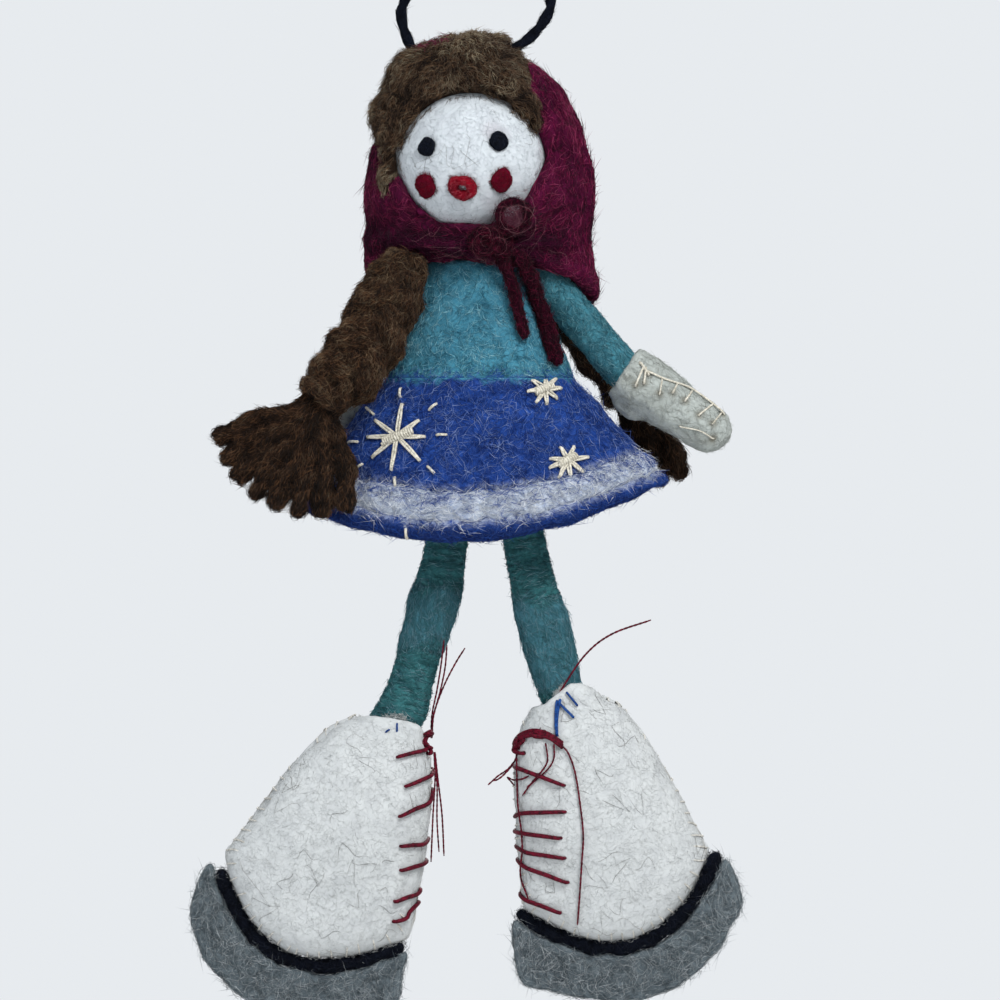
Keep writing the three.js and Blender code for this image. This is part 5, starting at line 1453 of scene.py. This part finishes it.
# Painted shade at each stitch hole, and random tan patches over the felt
for piece, spots in ((left_mitten, holes), (right_mitten, holes_right)):
    p = points_of(piece)
    dark = np.zeros(len(p))
    for hole in spots:
        far = np.linalg.norm(p - np.array(hole), axis=1)
        dark = np.maximum(dark, np.clip(1.35 - far / 1.1, 0, 1))
    mark(piece, "edge", dark + 0.35 * np.clip(ripple(p, 7, 121) - 0.3, 0, 1))


# ---------------------------------------------------------------- coats of loose wool
def along_lines(lines, around=0.0):
    """A flow along the nearest of the lines, or round them."""
    points = np.concatenate([line[::2] for line in lines])
    ways = np.concatenate([np.gradient(line, axis=0)[::2] for line in lines])
    ways /= np.linalg.norm(ways, axis=1, keepdims=True)

    def flow(p, n):
        way = np.zeros_like(p)
        for i in range(0, len(p), 2000):
            far = ((p[i : i + 2000, None] - points[None]) ** 2).sum(axis=2)
            way[i : i + 2000] = ways[far.argmin(axis=1)]
        return way * (1 - around) + np.cross(n, way) * around

    return flow


def coated(name, forms, count, length, seed, body, material, slot, **more):
    placed(loose_fibres(name, forms, count, length, seed, **more), body, material)


hood_middle = np.array(neck(0, 4.5, 14))


def off_hair(p, n):
    out = p - hair_middle
    outward = ((n * out).sum(axis=1) > 0) * (np.linalg.norm(out, axis=1) > SCALP)
    return outward * np.where(p[:, 1] < 12, 1.0, 0.1)


def on_crown(p, n):
    """The wine wisps lie on the crown, behind the fringe."""
    there = (p[:, 2] > -81.5) & (p[:, 1] > -6) & (np.abs(p[:, 0] + 10.5) < 4)
    return (there & (n[:, 2] > 0)) * 1.0


def off_hood(p, n):
    out = p - hood_middle
    out[:, 2] *= 0.3
    return ((n * out).sum(axis=1) > 0) * 1.0 + 0.02


def off_face(p, n):
    return ((n[:, 1] < 0.25) & (p[:, 2] < head_centre[2] + 15)) * 1.0


def chin_shade(p):
    """1 where the kerchief is drawn tight under the chin, and 0 away from it."""
    return near_form(p, chin_tree, 3.2) * (p[:, 1] < 0)


def hood_flow(p, n):
    """Round the face at the edge, and down the hood further back."""
    out = p - head_centre
    ring_way = np.cross(out, np.array([0.0, 1.0, 0.0]))
    ring_way /= np.linalg.norm(ring_way, axis=1, keepdims=True) + 1e-9
    return ring_way + 0.35 * np.random.default_rng(5).normal(size=p.shape)


def hair_flow(p, n):
    """From the top of the crown down to the hairline."""
    out = p - np.array(neck(-5, -6, 46))
    out[:, 2] -= 6
    return out


def hair_tint(p, shade):
    """Painted shade in the hollows and painted light on the lumps, brown on the fringe, and olive and grey
    toward the crown.
    """
    relief = np.clip(hair_relief(p) * 0.32, -0.4, 0.4)
    high = rising(p[:, 2] - head_centre[2], 15, 14)
    return np.clip(shade**1.3 * (0.62 + 0.38 * high) + relief + 0.05, 0, 1)


def hood_tint(p, shade):
    """Uneven, and dark under the chin."""
    return np.clip(shade**1.4 + 0.18 * ripple(p, 9, 621) - 0.55 * chin_shade(p), 0, 1)


def under_chin(p, n):
    """Where the kerchief is drawn tight in front, most of all at the knot."""
    near_knot = np.clip(1 - np.abs(p[:, 0] - 4) / 22, 0.05, 1)
    return (chin_shade(p) > 0.2) * (p[:, 1] < -8) * near_knot


coated("hair_fibres", [hair], 21000, (1.6, 4.2), 61, "doll", hair_coat, "hair_wool", radius=(0.028, 0.058),
       lift=(0.1, 0.8), stray=0.3, reach=1.6, curl=0.7, spread=0.4, swirl=(0.55, 6), flow=hair_flow,
       where=off_hair, tint=hair_tint)
coated("crown_tufts", [hair], 420, (1.4, 3.2), 611, "doll", wine_coat, "kerchief_wool", radius=(0.03, 0.06),
       lift=(0.3, 0.9), stray=0.6, reach=1.7, curl=1.3, where=on_crown)
coated("kerchief_fibres", [kerchief], 15500, (2.2, 6.0), 62, "doll", wine_coat, "kerchief_wool",
       radius=(0.03, 0.06), stray=0.07, reach=1.8, flow=hood_flow, spread=0.7, swirl=(0.9, 9), curl=1.1,
       where=off_hood, tint=hood_tint)
bow_forms = [bpy.data.objects[n] for n in ("bow_knot_wool", "upper_bow_loop", "lower_bow_loop",
                                           "short_tail", "long_tail")]
coated("bow_fibres", bow_forms, 5600, (1.2, 4.2), 63, "doll", bow_coat, "kerchief_wool",
       radius=(0.03, 0.055), stray=0.3, reach=1.3, spread=1.0, curl=1.4, tint=lambda p, s: s**1.6)
coated("chin_curls", [kerchief], 36, (3.0, 8.0), 631, "doll", curl_coat, "kerchief_wool",
       radius=(0.016, 0.024), lift=(0.2, 0.9), curl=3.0, stray=0.2, reach=1.6, steps=9, where=under_chin)


def beside(tree, reach):
    """Thick beside a form and thinner away from it, up to reach mm, and none under the form."""
    def thickness(p, n):
        far = np.array([tree.find_nearest(Vector(q))[3] for q in p])
        near = np.clip(1 - far / reach, 0, 1)
        for i in np.nonzero(near)[0]:
            if tree.ray_cast(Vector(p[i] + n[i] * 0.02), Vector(n[i]), 12)[0] is not None:
                near[i] = 0
        return near

    return thickness


coated("fringe_wisps", [head], 800, (1.0, 2.8), 641, "doll", hair_coat, "hair_wool", radius=(0.022, 0.045),
       flow=hair_flow, spread=0.5, lift=(0.05, 0.3), stray=0.1, reach=0.7, where=beside(hair_tree, 1.7),
       tint=lambda p, s: s**1.3 * 0.7)
coated("hood_wisps", [head], 420, (0.8, 2.4), 642, "doll", wine_coat, "kerchief_wool",
       radius=(0.014, 0.024), spread=1.4, lift=(0.02, 0.2), stray=0.1, reach=0.6,
       where=beside(hood_tree, 1.5))
for name in ("cheek_left_pad", "cheek_right_pad", "mouth_ring"):
    around = tree_of(bpy.data.objects[name])
    middle = points_of(bpy.data.objects[name]).mean(axis=0)
    coated(name + "_wisps", [head], 150, (0.7, 1.5), 643 + len(name), "doll", red_coat, "red_wool",
           radius=(0.018, 0.03), lift=(0.02, 0.12), stray=0.0, where=beside(around, 0.5), spread=0.6,
           flow=lambda p, n: p - middle, tint=lambda p, s: s * 0.7)


def gauze(name, centre, radius, count, seed, material, arc=0.0):
    """Thin fibres drawn across a bow loop, or as open curls (arc) round it."""
    rng = np.random.default_rng(seed)
    steps = 9
    lines = np.zeros((count, steps, 3))
    t = np.linspace(0, 1, steps)
    for f in range(count):
        if arc:
            size = radius * rng.uniform(0.45, 1.25)
            middle = rng.normal(size=2) * radius * 0.45
            angle = rng.uniform(0, 6.3) + t * rng.uniform(0.6, 1) * arc
            x, z = middle[0] + size * np.cos(angle), middle[1] + size * np.sin(angle)
            y = rng.uniform(-1.9, -1.2) + 0.35 * np.sin(angle * 1.5)
        else:
            one, two = rng.uniform(0, 6.3, 2)
            x = radius * (np.cos(one) * (1 - t) + np.cos(two) * t)
            z = radius * (np.sin(one) * (1 - t) + np.sin(two) * t)
            bow = rng.normal(size=2) * 0.5 * radius * 0.5
            x, z = x + bow[0] * np.sin(t * math.pi), z + bow[1] * np.sin(t * math.pi)
            y = rng.uniform(-0.5, 0.7) + 0 * t
        lines[f] = np.stack([centre[0] + x, centre[1] + y, centre[2] + z], axis=1)
    piece = fibre_mesh(name, lines, rng.uniform(0.016, 0.028, count), rng.random(count))
    placed(piece, "doll", material)


UPPER_LOOP, LOWER_LOOP = (7.1, -17.53, -115.05), (1.1, -16.93, -120.33)  # middles of the bow's loops
gauze("upper_gauze", UPPER_LOOP, 3.3, 420, 632, gauze_coat)
gauze("lower_gauze", LOWER_LOOP, 2.3, 200, 633, bow_coat)
gauze("upper_curls", UPPER_LOOP, 3.4, 8, 634, curl_coat, arc=5.5)
gauze("lower_curls", LOWER_LOOP, 2.7, 9, 635, curl_coat, arc=5.5)
coated("face_fibres", [head], 14000, (0.7, 1.9), 64, "doll", face_coat, "white_wool", radius=(0.012, 0.024),
       lift=(0.0, 0.05), stray=0.05, reach=0.4, curl=0.7, where=off_face)
for name in ("eye_left_pad", "eye_right_pad"):
    coated(name + "_fibres", [bpy.data.objects[name]], 420, (0.7, 1.7), 65, "doll", black_coat,
           "black_wool", radius=(0.025, 0.04), lift=(0, 0.12), stray=0.06, reach=0.35)
coated("cheek_fibres", [bpy.data.objects[n] for n in ("cheek_left_pad", "cheek_right_pad")], 1500,
       (0.8, 2.0), 66, "doll", red_coat, "red_wool", radius=(0.025, 0.045), lift=(0, 0.14), stray=0.08,
       reach=0.45, tint=lambda p, s: s * 0.6)
coated("mouth_fibres", [bpy.data.objects["mouth_ring"]], 700, (0.8, 2.0), 661, "doll", red_coat, "red_wool",
       radius=(0.025, 0.045), lift=(0, 0.14), stray=0.08, reach=0.4, tint=lambda p, s: 0.4 + 0.6 * s)
coated("bodice_fibres", [bodice], 9500, (1.8, 4.6), 67, "doll", teal_coat, "bodice_wool",
       radius=(0.025, 0.05), stray=0.08, reach=1.1, curl=1.1, swirl=(1.2, 7),
       where=lambda p, n: (p[:, 2] > WAIST + 0.2) * (n[:, 2] > -0.6),
       tint=lambda p, s: np.clip(s**1.3 + 0.15 * ripple(p, 8, 671), 0, 1))


def shade_below_band(p):
    """Painted shade: 1 on the skirt just under the band."""
    hits = np.array([band_tree.find_nearest(Vector(q))[0].z for q in p])
    return rising(hits - p[:, 2], 0.6, 1.6) * (p[:, 2] < HEM_FROM)


def off_skirt(p, n):
    """The outside of the skirt, and a little of its inside."""
    outward = (n * (p - [0, MIDDLE, -140])).sum(axis=1) > 0
    return (p[:, 2] < WAIST - 0.2) * np.where(outward, 1, 0.12)


# Fibres just under the band are darker: painted shade.
coated("skirt_fibres", [skirt], 19000, (2.2, 6.0), 68, "doll", blue_coat, "skirt_wool",
       radius=(0.025, 0.055), stray=0.12, reach=1.6, curl=1.3, swirl=(1.2, 8), where=off_skirt,
       tint=lambda p, s: np.clip(s**1.5 + 0.12 * ripple(p, 8, 681), 0, 1) * (1 - 0.6 * shade_below_band(p)))


def beside_band(p, n):
    hits = [band_tree.find_nearest(Vector(q)) for q in p]
    far = np.array([hit[3] for hit in hits])
    reach = np.where(np.array([hit[0].z for hit in hits]) < p[:, 2], 1.2, 2.2)
    return np.clip(1 - 0.85 * far / reach, 0, 1) * (far < reach) * (p[:, 2] < WAIST - 10)


coated("band_fibres", [band], 9000, (2.4, 6.5), 69, "doll", white_coat, "white_wool", radius=(0.025, 0.055),
       stray=0.16, reach=1.6, flow=toward(1, 0.1, 0), spread=0.7, swirl=(0.7, 7), curl=1.2)
coated("band_wisps", [skirt], 2600, (2.4, 6.5), 70, "doll", white_coat, "white_wool", radius=(0.025, 0.045),
       stray=0.15, reach=1.5, flow=toward(1, 0.1, 0), spread=0.9, swirl=(0.7, 7), curl=1.3,
       where=beside_band, lift=(0.1, 0.8), tint=lambda p, s: s * 0.8)
coated("band_blues", [band], 3000, (2.4, 6.0), 701, "doll", blue_coat, "skirt_wool", radius=(0.025, 0.05),
       flow=toward(1, 0.1, 0), spread=0.8, curl=1.2, lift=(0.1, 0.5), tint=lambda p, s: 0.2 + 0.6 * s,
       where=lambda p, n: 0.12 + 1.0 * (n[:, 2] > 0.3))
coated("waist_wisps", [bodice, skirt], 1200, (1.5, 4.0), 71, "doll", blue_coat, "skirt_wool",
       radius=(0.03, 0.05), where=lambda p, n: (np.abs(p[:, 2] - WAIST - 0.6) < 1.3) * 1.0, lift=(0.1, 0.4),
       flow=toward(1, 0, 0.4), spread=0.9, tint=lambda p, s: s * 0.7)
for i, (side, body) in enumerate((("left", "left_arm"), ("right", "right_arm"))):
    arm, hand = bpy.data.objects[f"sleeve_{side}"], bpy.data.objects[f"mitten_{side}_felt"]
    coated(f"sleeve_{side}_fibres", [arm], 3600, (1.8, 4.2), 72 + i, body, sleeve_coat, "sleeve_wool",
           radius=(0.025, 0.05), stray=0.08, reach=1.1, tint=lambda p, s: s**1.3)
    coated(f"mitten_{side}_fibres", [hand], 4200, (1.4, 3.6), 74 + i, body, mitten_coat, "white_felt",
           radius=(0.02, 0.04), stray=0.14, reach=0.9, lift=(0.0, 0.14))
for i, side in enumerate(("right", "left")):
    line = [leg_lines[side]]
    low, high = knee_spans[side]
    wrapped = lambda p, n: ((p[:, 2] < low) | (p[:, 2] > high)) * 1.0
    loose = lambda p, n: ((p[:, 2] > low - 1) & (p[:, 2] < high + 1)) * 1.0
    coated(f"leg_{side}_wraps", [legs[side]], 3800, (2.5, 6), 76 + i, f"{side}_leg", leg_coat, "leg_wool",
           radius=(0.025, 0.055), stray=0.09, reach=1.1, flow=along_lines(line, 1.0), spread=0.22,
           where=wrapped, tint=lambda p, s: s**1.2)
    coated(f"leg_{side}_knee", [legs[side]], 3000, (2.2, 5.5), 78 + i, f"{side}_leg", leg_coat, "leg_wool",
           radius=(0.025, 0.045), stray=0.09, reach=1.1, flow=along_lines(line, 0.4), spread=0.7,
           swirl=(0.8, 6), where=loose, tint=lambda p, s: 0.35 + s**1.3 * 0.6)
for i, (side, (*_, body)) in enumerate(BOOTS.items()):
    for j, (face, count) in enumerate((("front", 11000), ("back", 6500))):
        panel = bpy.data.objects[f"boot_{side}_{face}_felt"]
        sign = -1 if face == "front" else 1
        coated(f"boot_{side}_{face}_fibres", [panel], count, (0.8, 2.6), 80 + 2 * i + j, body, boot_coat,
               "white_wool", radius=(0.012, 0.024), stray=0.12, reach=0.8, lift=(0.0, 0.06), curl=0.8,
               swirl=(1.0, 7), where=lambda p, n: np.where(n[:, 1] * sign > 0.05, 1, 0.3))
        coated(f"boot_{side}_{face}_hairs", [panel], 34, (2.5, 7), 800 + 2 * i + j, body, hair_grey,
               "white_wool", radius=(0.025, 0.04), stray=0.1, reach=0.8, lift=(0.03, 0.14), curl=2.6,
               steps=7, where=lambda p, n: (n[:, 1] * sign > 0.3) * 1.0)
    coated(f"ankle_wisps_{side}", [legs[side]], 300, (0.8, 2.4), 830 + i, body, boot_coat, "white_wool",
           radius=(0.016, 0.03), lift=(0.05, 0.4), stray=0.3, reach=0.9,
           where=beside(boot_trees[side], 1.8))
    blade = bpy.data.objects[f"blade_{side}_felt"]
    coated(f"blade_{side}_fibres", [blade], 5200, (2.2, 6.0), 84 + i, body, blade_coat, "grey_felt",
           radius=(0.022, 0.045), stray=0.22, reach=2.2, curl=1.3, swirl=(1.0, 7), tint=lambda p, s: s**1.1)
    cord = bpy.data.objects[f"sole_cord_{side}"]
    coated(f"sole_{side}_fibres", [cord], 3600, (1.4, 4.0), 86 + i, body, black_coat, "black_yarn",
           radius=(0.022, 0.04), stray=0.55, reach=1.8, spread=0.9, lift=(0.1, 0.7))
    panels = [bpy.data.objects[f"boot_{side}_{face}_felt"] for face in ("front", "back")]
    coated(f"rim_wisps_{side}", panels, 900, (0.9, 2.8), 834 + i, body, boot_coat, "white_wool",
           radius=(0.014, 0.028), lift=(0.1, 0.7), stray=0.3, reach=1.0, where=beside(tree_of(cord), 1.2))
coated("face_hairs", [head], 26, (2.5, 8), 810, "doll", hair_grey, "white_wool", radius=(0.02, 0.032),
       stray=0.05, reach=0.6, lift=(0.02, 0.08), curl=2.2, steps=8, where=off_face)
for i, (side, body) in enumerate((("right", "front_braid"), ("left", "back_braid"))):
    lines, braid, tassel, tie = yarn_lines[side]
    flow = along_lines(lines)
    dark = lambda p, s: np.clip(s**1.3 * 0.8 + 0.22 * ripple(p, 4, 881) + 0.05, 0, 1)
    deeper = lambda p, s: np.clip(s**1.6 * 0.62 + 0.2 * ripple(p, 4, 881) - 0.04, 0, 1)
    coated(f"braid_{side}_fibres", [braid], (14000, 3600)[i], (1.3, 3.8), 88 + i, body, brown_coat,
           "hair_wool", radius=(0.03, 0.06), stray=0.24, reach=1.3, flow=flow, spread=0.5, swirl=(0.6, 4),
           curl=1.2, lift=(0.05, 0.5), tint=dark)
    coated(f"tie_{side}_fibres", [tie], (2600, 900)[i], (1.8, 4.6), 890 + i, body, brown_coat, "hair_wool",
           radius=(0.03, 0.06), stray=0.35, reach=1.4, spread=0.9, lift=(0.1, 0.6), tint=dark)
    coated(f"tassel_{side}_fibres", [tassel], (14000, 3600)[i], (1.4, 4.2), 90 + i, body, brown_coat,
           "hair_wool", radius=(0.03, 0.06), stray=0.22, reach=1.2, flow=flow, spread=0.4, curl=1.0,
           lift=(0.05, 0.45), tint=deeper)


# ---------------------------------------------------------------- wires inside the limbs
wire_steel, tree, shader = new_material("wire_steel")
grain = added(tree, "TexNoise", {"Scale": 900, "Vector": object_place(tree)})
steel_tone = two_tones(tree, grain.outputs[0], linear(120, 118, 114), linear(176, 176, 176))
filled(tree, shader, {"Base Color": steel_tone, "Metallic": 1, "Roughness": 0.45})
for name, node in frame["nodes"].items():
    if name.endswith("_wire"):
        node.data.materials.clear()
        node.data.materials.append(wire_steel)

nothing_selected()
